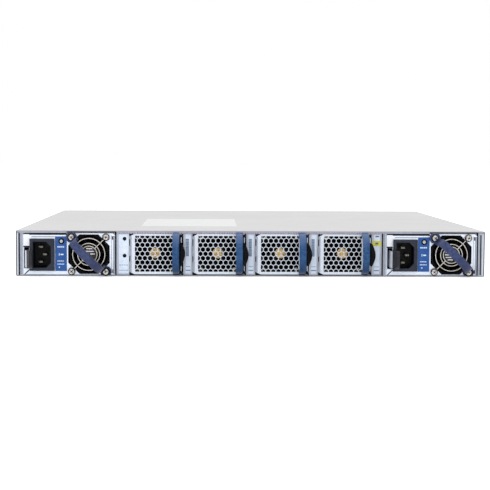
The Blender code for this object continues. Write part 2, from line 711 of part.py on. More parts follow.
def fan_handle(name, left, finish):
    """Bowed pull handle with a finger gap behind it."""
    thickness, steps = 2.6 * MM, 14
    floor, foot, reach = REAR_Y - GAP, 1.2 * MM, 14.0 * MM
    half_h = 17.6 * MM
    middle_z = 21.7 * MM
    path = []
    for i in range(steps + 1):
        turn = math.pi * i / steps
        bow = math.sin(turn) ** 0.75
        rise = math.copysign(abs(math.cos(turn)) ** 0.75, math.cos(turn))
        path.append((floor - 0.4 * MM - reach * bow, middle_z - half_h * rise))
    handle = plate(name, [band(path, thickness)], FACING_X, (left + 39.7 * MM, 0, 0), 6.4 * MM, finish)
    for z in (middle_z - half_h, middle_z + half_h):
        low = (left + 40.0 * MM, floor - foot, z - 2.2 * MM)
        join(handle, box("handle_foot", low, (left + 45.8 * MM, floor, z + 2.2 * MM)))
    return smooth(handle)


def fan_latch(name, left, finish):
    """Thumb pad with a bulging outer side, on a flat spring that enters the module."""
    pad_low, pad_high, bulge, steps = 11.0 * MM, 32.0 * MM, 4.1 * MM, 8
    x0, thin = left + 47.3 * MM, 0.8 * MM
    pad = [(x0, pad_low)]
    for i in range(steps + 1):
        share = i / steps
        out = thin + (bulge - thin) * math.sin(math.pi * share)
        pad.append((x0 + out, pad_low + (pad_high - pad_low) * share))
    pad.append((x0, pad_high))
    depth = 14.5 * MM
    latch = plate(name, [pad], FACING_Y, (0, REAR_Y - 1.5 * MM, 0), depth, finish)
    low = (left + 47.4 * MM, REAR_Y - 3 * MM, FAN_Z0 + 4 * MM)
    join(latch, box("spring", low, (left + 48.0 * MM, REAR_Y + 22 * MM, FAN_Z1 - 4 * MM)))
    return smooth(latch)


def fan_module(index, finish):
    left, number = fan_left(index), index + 1
    fan_face(f"fan_face_{number}", left, finish["steel"])
    fan_tray(f"fan_tray_{number}", left, finish["steel"])
    fan_handle(f"fan_handle_{number}", left, finish["blue"])
    fan_latch(f"fan_latch_{number}", left, finish["black"])
    x, y = left + FAN_CENTRE_X, FAN_FACE_Y + FAN_SETBACK
    fan_housing(f"fan_housing_{number}", x, y, FAN_CENTRE_Z, finish["black"])
    fan_rotor(f"fan_rotor_{number}", x, y, FAN_CENTRE_Z, finish["black"])


# ---------------------------------------------------------------- power supply


def psu_case(name, left, finish):
    """Closed sheet-metal case: the face has the inlet, latch, light and fan openings."""
    x0, x1, z0, z1 = left + PSU_FACE_LOW, left + PSU_FACE_HIGH, PSU_Z0, PSU_Z1
    y0, y1 = REAR_Y, REAR_Y + PSU_DEPTH
    rail, wall = x0 - PSU_RAIL, PSU_SHEET
    case = box(name, (rail, y0, z0), (x1, y1, z1), finish)
    cut(case, box("rail_step", (rail - wall, y0 - wall, z0 - wall), (x0, y0 + wall, z1 + wall)))
    far = (x1 - wall, y1 - wall, z1 - wall)
    cut(case, box("case_hollow", (x0 + wall, y0 + wall, z0 + wall), far))
    low = (rail + wall, y0 + 2 * wall, z0 + wall)
    cut(case, box("rail_hollow", low, (x0 + 2 * wall, far[1], far[2])))
    fan_x, half_w, half_h = left + PSU_FAN_X, OCTAGON_W / 2, OCTAGON_H / 2
    front = [
        cut_corners(fan_x - half_w, PSU_FAN_Z - half_h, fan_x + half_w, PSU_FAN_Z + half_h, OCTAGON_CUT),
        rectangle(left + 7.0 * MM, 6.4 * MM, left + 27.8 * MM, 33.8 * MM),
        rectangle(left + 0.5 * MM, 7.4 * MM, left + 5.4 * MM, 27.2 * MM),
        circle(left + 35.4 * MM, 32.9 * MM, 1.6 * MM, 10),
    ]
    back = [
        rectangle(left + 22 * MM, z0 + 6 * MM, left + 64 * MM, z0 + 11 * MM),
        rectangle(left + 10 * MM, z0 + 14 * MM, left + 76 * MM, z0 + 34 * MM),
    ]
    for loops, wall_y in ((front, y0 + PSU_SHEET), (back, y1)):
        for loop in loops:
            start = (0, wall_y + PSU_SHEET / 2, 0)
            cut(case, plate("case_opening", [loop], FACING_Y, start, 2 * PSU_SHEET))
    low = (x0 + 0.6 * MM, y0 - wall, z1 - 1.4 * MM)
    cut(case, box("lowered_edge", low, (left + PSU_INLET_END, y0 + 12 * MM, z1 + wall)))
    leg, over = 2.4 * MM, 1 * MM
    corner = [(x1 - leg - over, z1 + over), (x1 + over, z1 - leg - over), (x1 + over, z1 + over)]
    cut(case, plate("corner_cut", [corner], FACING_Y, (0, y0 + 3 * wall, 0), 4 * wall))
    return case


def psu_inlet(name, left, finish):
    """Mains inlet: a flange, the body behind it, and a keyed cavity with three flat pins."""
    front = REAR_Y - INLET_PROUD
    low = (left + INLET_LOW[0], front, INLET_LOW[1])
    inlet = box(name, low, (left + INLET_HIGH[0], REAR_Y - GAP, INLET_HIGH[1]), finish)
    low = (left + 7.4 * MM, REAR_Y - 2 * GAP, 6.8 * MM)
    join(inlet, box("inlet_body", low, (left + 27.4 * MM, REAR_Y + INLET_BODY_DEPTH, 33.4 * MM)))
    (cx0, cz0), (cx1, cz1) = CAVITY_LOW, CAVITY_HIGH
    key = [(cx0, cz0), (cx1 - CAVITY_CUT, cz0), (cx1, cz0 + CAVITY_CUT)]
    key += [(cx1, cz1 - CAVITY_CUT), (cx1 - CAVITY_CUT, cz1), (cx0, cz1)]
    key = [(left + x, z) for x, z in key]
    floor = front + CAVITY_DEPTH
    cut(inlet, plate("cavity", [key], FACING_Y, (0, floor, 0), CAVITY_DEPTH + 2 * MM))
    for x, z in PINS:
        low = (left + x - 2 * MM, front + 2.5 * MM, z - 1 * MM)
        join(inlet, box("pin", low, (left + x + 2 * MM, floor + 1 * MM, z + 1 * MM)))
    return inlet


def psu_guard(name, x, z, finish):
    """Wire finger guard: three rings welded to four legs that end in screw eyelets."""
    ring_y, leg_y, eye_y = REAR_Y - 1.9 * MM, REAR_Y - 1.5 * MM, REAR_Y - WIRE_R - GAP
    guard = ring(name, (x, ring_y, z), GUARD_RINGS[0], WIRE_R, 24, 4)
    guard.data.materials.append(finish)
    for radius, sides in zip(GUARD_RINGS[1:], (20, 16)):
        join(guard, ring("guard_ring", (x, ring_y, z), radius, WIRE_R, sides, 4))
    eye_r = 2.5 * MM
    for sx in (-1, 1):
        for sz in (-1, 1):
            corner = Vector((x + sx * SCREW_HALF, eye_y, z + sz * SCREW_HALF))
            inward = Vector((-sx, 0, -sz)).normalized()
            start = corner + inward * eye_r
            stop = Vector((x, leg_y, z)) - inward * (GUARD_RINGS[2] - 0.4 * MM)
            join(guard, rod("guard_leg", start, stop, WIRE_R, 5))
            join(guard, ring("eyelet", corner, eye_r, WIRE_R * 1.02, 8, 4))
    return smooth(guard)


def strap_path():
    """Centreline of one half of the strap, in mm along it and out from the face."""
    half = [(0, 32.1), (5, 31.9), (10.3, 30.9), (14.6, 28.4), (17.4, 24.4), (18.4, 19.5)]
    half += [(18.3, 14.5), (17.7, 9.0), (17.4, 5.6), (18.1, 3.7), (19.8, 2.95), (22.6, 2.95)]
    half = [(along * MM, out * MM) for along, out in half]
    return [(-along, out) for along, out in half[:0:-1]] + half


def psu_strap(name, x, z, finish):
    """Blue pull loop over the fan, from the upper left screw to the lower right one."""
    along, outward = Vector((1, 0, -1)).normalized(), Vector((0, -1, 0))
    across = along.cross(outward)
    placing = Matrix((along, outward, across)).transposed().to_4x4()
    start = Vector((x, REAR_Y, z)) - across * STRAP_W / 2
    strap = plate(name, [band(strap_path(), STRAP_T)], placing, start, STRAP_W, finish)
    for side in (-1, 1):
        centre = Vector((x, REAR_Y, z)) + along * side * SCREW_HALF * math.sqrt(2)
        floor, top = (centre + outward * (2.95 * MM + d) for d in (-STRAP_T / 2, STRAP_T / 2))
        join(strap, rod("strap_tab", floor, top, STRAP_TAB_R, 16))
    for side in (-1, 1):
        centre = Vector((x, REAR_Y, z)) + along * side * SCREW_HALF * math.sqrt(2)
        cut(strap, rod("strap_hole", centre, centre + outward * 8 * MM, 1.9 * MM, 10))
    for low_z, high_z in ((-9 * MM, PSU_Z0 + 0.4 * MM), (PSU_Z1 - 0.3 * MM, 52 * MM)):
        low = (x - 40 * MM, REAR_Y - 40 * MM, low_z)
        cut(strap, box("strap_trim", low, (x + 40 * MM, REAR_Y, high_z)))
    return smooth(strap)


def psu_latch(name, left, finish):
    """Thumb tab beside the inlet, on a flat spring that enters the case."""
    z0, z1 = 8.3 * MM, 25.3 * MM
    x0 = left + 2.3 * MM
    tab = [(-17.5, 3.2), (-17.5, 6.2), (-13, 5.7), (-3.0, 3.6), (-3.0, 1.6), (-1.0, 1.6), (-1.0, 0), (-6, 0)]
    tab = [(y * MM + REAR_Y, x * MM + x0) for y, x in tab]
    upright = Matrix(((0, 1, 0), (1, 0, 0), (0, 0, -1))).to_4x4()
    latch = plate(name, [tab], upright, (0, 0, z1), z1 - z0, finish)
    low = (left + 2.6 * MM, REAR_Y - 1.8 * MM, z0 + 0.6 * MM)
    join(latch, box("spring", low, (left + 3.4 * MM, REAR_Y + 26 * MM, z1 - 0.6 * MM)))
    return latch


def psu_board(name, left, finish):
    """Power board with its transformer, bulk capacitor and heat spreaders soldered on."""
    z0 = PSU_Z0 + 7.7 * MM
    y0, y1 = REAR_Y + 34 * MM, REAR_Y + PSU_DEPTH - 4 * MM
    edge = [(left + 4 * MM, y0), (left + 82 * MM, y0), (left + 82 * MM, y1), (left + 62 * MM, y1)]
    edge += [(left + 62 * MM, y1 + 15.5 * MM), (left + 24 * MM, y1 + 15.5 * MM)]
    edge += [(left + 24 * MM, y1), (left + 4 * MM, y1)]
    board = plate(name, [edge], FACING_Z, (0, 0, z0), BOARD_T, finish)
    sunk = z0 + BOARD_T - 0.5 * MM
    blocks = (
        ((12, 100), (46, 134), 27),
        ((54, 96), (57, 160), 26),
        ((8, 146), (40, 149), 26),
        ((62, 48), (80, 84), 16),
    )
    for (bx0, by0), (bx1, by1), height in blocks:
        low = (left + bx0 * MM, REAR_Y + by0 * MM, sunk)
        join(board, box("component", low, (left + bx1 * MM, REAR_Y + by1 * MM, sunk + height * MM)))
    radius = 12.5 * MM
    centre_z = sunk + radius
    start = (left + 28 * MM, REAR_Y + 44 * MM, centre_z)
    join(board, rod("capacitor", start, (left + 28 * MM, REAR_Y + 88 * MM, centre_z), radius, 14))
    return board


def power_supply(index, finish):
    left, number = PSU_DATUM_X[index], index + 1
    fan_x = left + PSU_FAN_X
    psu_case(f"psu_case_{number}", left, finish["steel"])
    psu_inlet(f"psu_inlet_{number}", left, finish["inlet"])
    psu_guard(f"psu_guard_{number}", fan_x, PSU_FAN_Z, finish["wire"])
    psu_strap(f"psu_strap_{number}", fan_x, PSU_FAN_Z, finish["blue"])
    psu_latch(f"psu_latch_{number}", left, finish["inlet"])
    fan_y = REAR_Y + PSU_SHEET + GAP
    fan_housing(f"psu_fan_housing_{number}", fan_x, fan_y, PSU_FAN_Z, finish["black"])
    fan_rotor(f"psu_fan_rotor_{number}", fan_x, fan_y, PSU_FAN_Z, finish["black"])
    psu_board(f"psu_board_{number}", left, finish["board"])


def main():
    clear_scene()
    finish = materials()
    chassis(finish)
    for index in range(FAN_COUNT):
        fan_module(index, finish)
    for index in range(2):
        power_supply(index, finish)


main()
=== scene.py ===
"""The looks of a 1U rackmount network switch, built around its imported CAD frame."""

import json
import math

import bmesh
import bpy
from mathutils import Matrix, Vector


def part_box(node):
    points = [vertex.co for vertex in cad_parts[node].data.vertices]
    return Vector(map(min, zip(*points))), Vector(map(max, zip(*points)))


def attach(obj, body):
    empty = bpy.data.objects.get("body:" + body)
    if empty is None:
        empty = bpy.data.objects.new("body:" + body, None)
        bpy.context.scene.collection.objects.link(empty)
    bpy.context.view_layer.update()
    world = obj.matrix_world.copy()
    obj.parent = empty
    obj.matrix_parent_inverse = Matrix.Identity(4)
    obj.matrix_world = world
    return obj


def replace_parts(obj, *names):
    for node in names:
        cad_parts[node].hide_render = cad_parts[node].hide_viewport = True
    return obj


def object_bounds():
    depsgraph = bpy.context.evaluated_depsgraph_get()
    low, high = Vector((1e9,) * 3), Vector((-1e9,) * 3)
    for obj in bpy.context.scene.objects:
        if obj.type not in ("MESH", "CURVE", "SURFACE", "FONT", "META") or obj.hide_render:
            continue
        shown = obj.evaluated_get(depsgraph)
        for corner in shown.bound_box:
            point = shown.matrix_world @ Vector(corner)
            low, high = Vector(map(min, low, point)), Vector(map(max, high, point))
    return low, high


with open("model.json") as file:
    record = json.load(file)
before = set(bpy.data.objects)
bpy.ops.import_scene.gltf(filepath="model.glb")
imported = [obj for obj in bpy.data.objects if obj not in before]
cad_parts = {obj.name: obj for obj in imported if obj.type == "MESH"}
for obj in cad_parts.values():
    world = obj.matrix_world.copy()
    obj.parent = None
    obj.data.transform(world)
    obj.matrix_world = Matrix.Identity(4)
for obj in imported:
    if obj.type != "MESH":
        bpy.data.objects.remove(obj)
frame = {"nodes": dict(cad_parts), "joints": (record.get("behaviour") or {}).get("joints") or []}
cad_low, cad_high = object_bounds()
JOINTS = {joint["name"]: joint for joint in frame["joints"]}

MM = 0.001
FAN_MODULES = range(1, 5)
SUPPLIES = range(1, 3)
FACE_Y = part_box("psu_case_1")[0].y  # plane of the power supplies' faces
PORT_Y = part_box("port_panel")[1].y
HALF_W = cad_high.x
HEIGHT = cad_high.z
X, Y, Z = Vector((1, 0, 0)), Vector((0, 1, 0)), Vector((0, 0, 1))
SPIN_X, FAN_X = 23.0, 61.0  # mm from each module's datum to its fan's axis


# ---------------- materials


def srgb(r, g, b):
    """A display colour from 0 to 255, as linear numbers."""
    out = []
    for value in (r, g, b):
        share = value / 255
        out.append(share / 12.92 if share <= 0.04045 else ((share + 0.055) / 1.055) ** 2.4)
    return (*out, 1.0)


class Finish:
    """A Principled material whose colour, roughness and height vary by noise on real scales."""

    def __init__(self, name, colour, roughness, metallic=0.0, specular=0.5, coat=0.0):
        self.material = bpy.data.materials.new(name)
        self.material.use_nodes = True
        self.nodes = self.material.node_tree.nodes
        self.links = self.material.node_tree.links
        self.shader = self.nodes["Principled BSDF"]
        self.shader.inputs["Base Color"].default_value = colour
        self.shader.inputs["Roughness"].default_value = roughness
        self.shader.inputs["Metallic"].default_value = metallic
        self.shader.inputs["Specular IOR Level"].default_value = specular
        self.shader.inputs["Coat Weight"].default_value = coat
        self.colour = colour
        self.coords = self.nodes.new("ShaderNodeTexCoord").outputs["Object"]
        self.height = None
        self.shade = None

    def noise(self, scale, stretch=(1, 1, 1), detail=4.0):
        mapping = self.nodes.new("ShaderNodeMapping")
        mapping.inputs["Scale"].default_value = stretch
        self.links.new(self.coords, mapping.inputs["Vector"])
        noise = self.nodes.new("ShaderNodeTexNoise")
        noise.inputs["Scale"].default_value = scale
        noise.inputs["Detail"].default_value = detail
        noise.inputs["Roughness"].default_value = 0.6
        self.links.new(mapping.outputs["Vector"], noise.inputs["Vector"])
        return noise.outputs["Fac"]

    def spread(self, value, low, high, start=0.3, end=0.7):
        spread = self.nodes.new("ShaderNodeMapRange")
        spread.inputs["From Min"].default_value = start
        spread.inputs["From Max"].default_value = end
        spread.inputs["To Min"].default_value = low
        spread.inputs["To Max"].default_value = high
        self.links.new(value, spread.inputs["Value"])
        return spread.outputs["Result"]

    def mottle(self, other, scale, amount=1.0, stretch=(1, 1, 1)):
        """Mixes the colour with another in soft patches."""
        return self.blend(self.spread(self.noise(scale, stretch), 0.0, amount), other)

    def fade(self, axis, start, end, colour, inside=None):
        """Goes over to another colour along an axis, everywhere or inside limits on |x| and z."""
        parts = self.nodes.new("ShaderNodeSeparateXYZ")
        self.links.new(self.coords, parts.inputs["Vector"])
        factor = self.spread(parts.outputs[axis], 0.0, 1.0, start, end)
        if inside:
            half_x, z_low, z_high = inside
            across = self.compute("ABSOLUTE", parts.outputs["X"])
            for test, value, limit in (
                ("LESS_THAN", across, half_x),
                ("GREATER_THAN", parts.outputs["Z"], z_low),
                ("LESS_THAN", parts.outputs["Z"], z_high),
            ):
                factor = self.compute("MULTIPLY", factor, self.compute(test, value, limit))
        return self.blend(factor, colour)

    def blend(self, factor, colour):
        """Mixes what the colour is so far with another, by a factor."""
        mix = self.nodes.new("ShaderNodeMix")
        mix.data_type = "RGBA"
        self.links.new(factor, mix.inputs["Factor"])
        if self.shade:
            self.links.new(self.shade, mix.inputs["A"])
        else:
            mix.inputs["A"].default_value = self.colour
        mix.inputs["B"].default_value = colour
        self.shade = mix.outputs["Result"]
        self.links.new(self.shade, self.shader.inputs["Base Color"])
        return self

    def compute(self, operation, value, other=0.0):
        node = self.nodes.new("ShaderNodeMath")
        node.operation = operation
        self.links.new(value, node.inputs[0])
        if isinstance(other, float):
            node.inputs[1].default_value = other
        else:
            self.links.new(other, node.inputs[1])
        return node.outputs["Value"]

    def sheen_marks(self, scale, low, high, stretch=(1, 1, 1)):
        """Varies the roughness."""
        value = self.spread(self.noise(scale, stretch, 6.0), low, high)
        self.links.new(value, self.shader.inputs["Roughness"])
        return self

    def grain(self, scale, depth, stretch=(1, 1, 1), strength=0.5):
        """Fine relief, depth in metres."""
        bump = self.nodes.new("ShaderNodeBump")
        bump.inputs["Strength"].default_value = strength
        bump.inputs["Distance"].default_value = depth
        self.links.new(self.noise(scale, stretch, 3.0), bump.inputs["Height"])
        if self.height:
            self.links.new(self.height, bump.inputs["Normal"])
        self.height = bump.outputs["Normal"]
        self.links.new(self.height, self.shader.inputs["Normal"])
        return self


def fan_datum(number):
    """The line a fan module's features are measured from, near its left edge."""
    return JOINTS[f"fan_spin_{number}"]["pos_m"][0] - SPIN_X * MM


def psu_datum(number):
    """The line a power supply's features are measured from, near its left edge."""
    return JOINTS[f"psu_fan_spin_{number}"]["pos_m"][0] - FAN_X * MM


def make_finishes():
    """Every finish, by the short name that the pieces use."""
    made = {}

    def add(key, name, *settings, **more):
        made[key] = Finish(name, *settings, **more)
        return made[key]

    inside = (HALF_W - 0.6 * MM, 0.6 * MM, HEIGHT - 0.7 * MM)
    # painted shade: chassis sheet goes near black deeper than 1.4 mm behind the faces, inside the
    # limits above
    painted_shade_deep = ("Y", FACE_Y + 1.4 * MM, FACE_Y + 4 * MM, srgb(20, 21, 25))
    steel = add("psu_steel", "bright_zinc_steel", srgb(217, 225, 237), 0.42, 0.08)
    steel.mottle(srgb(209, 217, 231), 45, 0.8, (1, 1, 2)).sheen_marks(160, 0.34, 0.5, (0.2, 1, 1))
    steel.grain(2400, 0.00002, (0.15, 1, 1))
    fan_steel = add("fan_steel", "screen_zinc_steel", srgb(199, 206, 217), 0.42, 0.15)
    fan_steel.mottle(srgb(188, 196, 208), 60, 0.8, (1, 1, 2))
    fan_steel.sheen_marks(160, 0.34, 0.5, (0.2, 1, 1))
    fan_steel.grain(2400, 0.00002, (0.15, 1, 1))
    # painted shade on the walls of the holes, behind the face's front surface
    fan_steel.fade("Y", FACE_Y + 0.32 * MM, FACE_Y + 0.55 * MM, srgb(30, 31, 36))
    fold = add("fold_steel", "folded_zinc_steel", srgb(190, 196, 206), 0.42, 0.2)
    fold.mottle(srgb(178, 185, 197), 60, 0.8).sheen_marks(160, 0.34, 0.5)
    tray = add("fan_tray", "tray_zinc_steel", srgb(78, 82, 90), 0.5, 0.3)
    tray.mottle(srgb(64, 68, 76), 60, 0.9).sheen_marks(200, 0.38, 0.54)
    frame_steel = add("frame_steel", "frame_zinc_steel", srgb(172, 178, 190), 0.44, 0.2)
    frame_steel.mottle(srgb(158, 164, 178), 60, 0.9).sheen_marks(200, 0.36, 0.54)
    frame_steel.grain(1800, 0.00003)
    # painted shade deep inside the chassis
    frame_steel.fade(*painted_shade_deep, inside)
    base_steel = add("base_steel", "base_zinc_steel", srgb(186, 192, 202), 0.42, 0.15)
    base_steel.mottle(srgb(174, 180, 192), 60, 0.9).sheen_marks(200, 0.34, 0.52)
    base_steel.grain(1800, 0.00003)
    # painted shade deep inside the chassis
    base_steel.fade(*painted_shade_deep, inside)
    # painted shade: darker along the bottom edge, below 1.5 mm
    base_steel.fade("Z", 1.5 * MM, 0.9 * MM, srgb(142, 145, 153))
    # darker grey for the rolled edges and edge strips: partly the bare edges' own tone, partly
    # painted shade of the bends
    edge_steel = add("edge_steel", "rolled_edge_steel", srgb(146, 152, 165), 0.42, 0.1)
    edge_steel.mottle(srgb(130, 136, 149), 300).sheen_marks(300, 0.3, 0.5)
    cut_edge = add("cut_edge", "cut_edge_steel", srgb(84, 86, 94), 0.5, 0.1)
    cut_edge.mottle(srgb(70, 72, 80), 300)
    cover = add("cover", "cover_paint", srgb(202, 201, 201), 0.55, 0.0, 0.25)
    cover.mottle(srgb(196, 196, 197), 14, 0.8).sheen_marks(40, 0.5, 0.62)
    cover.grain(1500, 0.00004)
    # painted shade on the cover's front edge
    cover.fade("Y", FACE_Y + 0.7 * MM, FACE_Y + 0.1 * MM, srgb(144, 143, 154))
    # painted shade on the cover's underside, deeper than 1.2 mm
    cover_underside_shade = (inside[0], 0.0, inside[2])
    cover.fade("Y", FACE_Y + 1.2 * MM, FACE_Y + 3 * MM, srgb(40, 42, 48), cover_underside_shade)
    panel = add("panel", "panel_paint", srgb(150, 153, 160), 0.5, 0.0, 0.4)
    panel.mottle(srgb(140, 143, 150), 20).sheen_marks(60, 0.42, 0.56).grain(1600, 0.00004)
    blue = add("blue", "blue_plastic", srgb(12, 48, 88), 0.45, 0.0, 0.15)
    blue.mottle(srgb(48, 84, 126), 420, 1.0).sheen_marks(300, 0.36, 0.5).grain(2600, 0.00002)
    # painted highlight on the handle's top, painted shade on its lower half, and painted light at
    # its bottom end
    blue.fade("Z", 28 * MM, 41 * MM, srgb(84, 104, 142))
    blue.fade("Z", 19 * MM, 5 * MM, srgb(20, 46, 78))
    blue.fade("Z", 6 * MM, 1.5 * MM, srgb(56, 66, 92))
    strap = add("strap", "strap_plastic", srgb(34, 44, 80), 0.45, 0.0, 0.2)
    strap.mottle(srgb(62, 73, 110), 420, 0.9).sheen_marks(280, 0.34, 0.5).grain(2400, 0.00003)
    # painted shade: darker towards the lower end
    strap.fade("Z", 24 * MM, 2 * MM, srgb(24, 30, 56))
    black = add("black", "black_plastic", srgb(13, 13, 15), 0.8, 0.0, 0.03)
    black.mottle(srgb(20, 20, 23), 220).sheen_marks(320, 0.72, 0.88).grain(3000, 0.00003)
    rotor = add("rotor", "rotor_plastic", srgb(14, 14, 16), 0.7, 0.0, 0.06)
    rotor.mottle(srgb(21, 21, 24), 180).sheen_marks(300, 0.62, 0.78)
    inlet = add("inlet", "inlet_plastic", srgb(44, 48, 60), 0.5, 0.0, 0.15)
    inlet.mottle(srgb(36, 40, 51), 240).sheen_marks(320, 0.38, 0.55).grain(2800, 0.00003)
    # painted shade: darker into the cavity
    inlet.fade("Y", FACE_Y - 1.6 * MM, FACE_Y + 5 * MM, srgb(9, 9, 11))
    tab = add("tab", "tab_plastic", srgb(32, 33, 40), 0.46, 0.0, 0.15)
    tab.mottle(srgb(44, 43, 47), 200).sheen_marks(320, 0.36, 0.5).grain(2800, 0.00003)
    wire = add("wire", "nickel_wire", srgb(214, 210, 204), 0.3, 0.6)
    wire.mottle(srgb(170, 165, 158), 300).sheen_marks(500, 0.24, 0.4)
    pin = add("pin", "pin_metal", srgb(150, 148, 142), 0.3, 0.6)
    # painted shade: darker deeper into the inlet
    pin.mottle(srgb(52, 50, 48), 900).fade("Y", FACE_Y, FACE_Y + 9 * MM, srgb(40, 38, 36))
    screw = add("screw", "screw_steel", srgb(226, 222, 216), 0.24, 1.0)
    screw.mottle(srgb(116, 110, 108), 520).sheen_marks(700, 0.18, 0.36)
    board = add("board", "solder_mask", srgb(18, 84, 52), 0.4, 0.0, 0.5)
    board.mottle(srgb(12, 66, 42), 320).sheen_marks(260, 0.32, 0.5).grain(900, 0.00003)
    aluminium = add("aluminium", "extruded_aluminium", srgb(205, 207, 212), 0.38, 0.9)
    aluminium.mottle(srgb(180, 183, 190), 90, 1.0, (1, 0.1, 1))
    aluminium.sheen_marks(400, 0.3, 0.5, (1, 0.05, 1))
    chip = add("chip", "chip_package", srgb(30, 30, 33), 0.55, 0.0, 0.3)
    chip.mottle(srgb(38, 38, 42), 500).grain(4000, 0.00002)
    cage = add("cage", "cage_nickel", srgb(204, 202, 196), 0.3, 0.9)
    cage.mottle(srgb(180, 177, 170), 120).sheen_marks(300, 0.24, 0.4)
    # painted shade: darker deeper inside the case
    cage.fade("Y", PORT_Y - 2 * MM, PORT_Y - 12 * MM, srgb(40, 40, 42))
    gold = add("gold", "hub_label_foil", srgb(252, 222, 160), 0.4, 0.2)
    gold.mottle(srgb(150, 116, 76), 700, 0.9).sheen_marks(600, 0.3, 0.5)
    film = add("hub_film", "hub_label_film", srgb(52, 48, 45), 0.4, 0.0, 0.25)
    film.mottle(srgb(38, 35, 33), 500, 0.9).sheen_marks(600, 0.34, 0.5)
    paper = add("paper", "label_paper", srgb(206, 216, 230), 0.6, 0.0, 0.2)
    paper.mottle(srgb(190, 202, 220), 160).grain(5000, 0.00001)
    sticker = add("sticker", "glossy_label", srgb(217, 217, 217), 0.42, 0.0, 0.3)
    sticker.mottle(srgb(212, 213, 213), 30).sheen_marks(90, 0.36, 0.48)
    white = add("white_film", "white_film", srgb(222, 224, 228), 0.5, 0.0, 0.2)
    white.mottle(srgb(214, 217, 223), 300)
    ink = add("ink", "printed_ink", srgb(56, 82, 112), 0.6, 0.0, 0.2)
    ink.mottle(srgb(84, 106, 134), 900)
    blue_label = add("blue_label", "blue_label_film", srgb(34, 80, 146), 0.42, 0.0, 0.25)
    blue_label.mottle(srgb(30, 72, 134), 200).sheen_marks(240, 0.36, 0.5)
    white_ink = add("white_ink", "white_ink", srgb(214, 226, 240), 0.5, 0.0, 0.4)
    white_ink.mottle(srgb(170, 194, 226), 1200)
    yellow = add("yellow", "yellow_label_film", srgb(200, 196, 70), 0.5, 0.0, 0.4)
    yellow.mottle(srgb(182, 178, 70), 800)
    contact = add("contact", "gold_contact", srgb(206, 176, 110), 0.3, 1.0)
    contact.mottle(srgb(180, 148, 84), 900)
    # painted highlight: the lens is lighter than its own colour, with lighter spots
    lens = add("lens", "led_lens", srgb(150, 152, 156), 0.2, 0.0, 0.5, 0.4)
    lens.mottle(srgb(190, 192, 196), 1500)
    gasket = add("gasket", "gasket_metal", srgb(158, 157, 170), 0.5, 0.05)
    gasket.mottle(srgb(132, 132, 148), 600).sheen_marks(700, 0.36, 0.54)
    # near-black painted shadow, put where gaps, slots and recesses are only shade
    shadow = add("shadow", "painted_shadow", srgb(14, 14, 16), 0.7, 0.0, 0.1)
    shadow.mottle(srgb(20, 20, 23), 500)
    return made


LOOKS = {name: finish.material for name, finish in make_finishes().items()}
STEEL = ("psu_steel", "fan_steel", "fan_tray", "base_steel", "frame_steel")
STEEL += ("edge_steel", "fold_steel")
NODE_LOOKS = {
    "psu_steel": ("psu_case",),
    "fan_steel": ("fan_face",),
    "fan_tray": ("fan_tray",),
    "base_steel": ("base_tray",),
    "frame_steel": ("rear_frame", "bay_divider"),
    "cover": ("top_cover",),
    "panel": ("port_panel",),
    "board": ("main_board", "memory_module", "psu_board"),
    "chip": ("switch_chip",),
    "aluminium": ("switch_heatsink", "processor_heatsink"),
    "cage": ("port_cage", "small_port_cage", "network_jack", "usb_port"),
    "blue": ("fan_handle",),
    "strap": ("psu_strap",),
    "black": ("fan_latch", "fan_housing", "psu_fan_housing"),
    "rotor": ("fan_rotor", "psu_fan_rotor"),
    "inlet": ("psu_inlet",),
    "wire": ("psu_guard",),
    "tab": ("psu_latch",),
}


def paint_nodes():
    """Gives every CAD node its procedural material."""
    looks = {stem: look for look, stems in NODE_LOOKS.items() for stem in stems}
    for name, node in frame["nodes"].items():
        stem = name.rstrip("0123456789").rstrip("_")
        node.data.materials.clear()
        node.data.materials.append(LOOKS[looks[stem]])


# ---------------- mesh tools


def finish_piece(name, bm, look, body, smooth=30):
    """Makes a bmesh a piece that rides on a body."""
    bmesh.ops.recalc_face_normals(bm, faces=bm.faces)
    mesh = bpy.data.meshes.new(name)
    bm.to_mesh(mesh)
    bm.free()
    return place(name, mesh, look, body, smooth)


def place(name, mesh, look, body, smooth=30):
    if look and not mesh.materials:
        mesh.materials.append(LOOKS[look])
    if smooth:
        mesh.shade_smooth()
        mesh.set_sharp_from_angle(angle=math.radians(smooth))
    piece = bpy.data.objects.new(name, mesh)
    bpy.context.scene.collection.objects.link(piece)
    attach(piece, body)
    return piece


def add_block(bm, low, high, radius=0.0, segments=2):
    """A box with rounded edges."""
    low, high = Vector(low), Vector(high)
    made = bmesh.ops.create_cube(bm, size=1.0)["verts"]
    bmesh.ops.scale(bm, vec=high - low, verts=made)
    bmesh.ops.translate(bm, vec=(low + high) / 2, verts=made)
    if radius:
        edges = list({edge for vert in made for edge in vert.link_edges})
        bmesh.ops.bevel(
            bm, geom=edges, offset=radius, segments=segments, profile=0.5, affect="EDGES"
        )


def add_prism(bm, loop, placing, depth, bevel=0.0):
    """A flat outline made solid, from 0 to depth along the placing's own Z."""
    face = bm.faces.new([bm.verts.new(placing @ Vector((x, y, 0))) for x, y in loop])
    grown = bmesh.ops.extrude_face_region(bm, geom=[face])
    top = [item for item in grown["geom"] if isinstance(item, bmesh.types.BMVert)]
    push = (placing.to_3x3() @ Z) * depth
    bmesh.ops.translate(bm, vec=push, verts=top)
    if bevel:
        front = [item for item in grown["geom"] if isinstance(item, bmesh.types.BMFace)]
        edges = list({edge for cap in front for edge in cap.edges})
        bmesh.ops.bevel(bm, geom=edges, offset=bevel, segments=2, profile=0.5, affect="EDGES")


def ring_of(centre, u, v, points):
    return [centre + u * a + v * b for a, b in points]


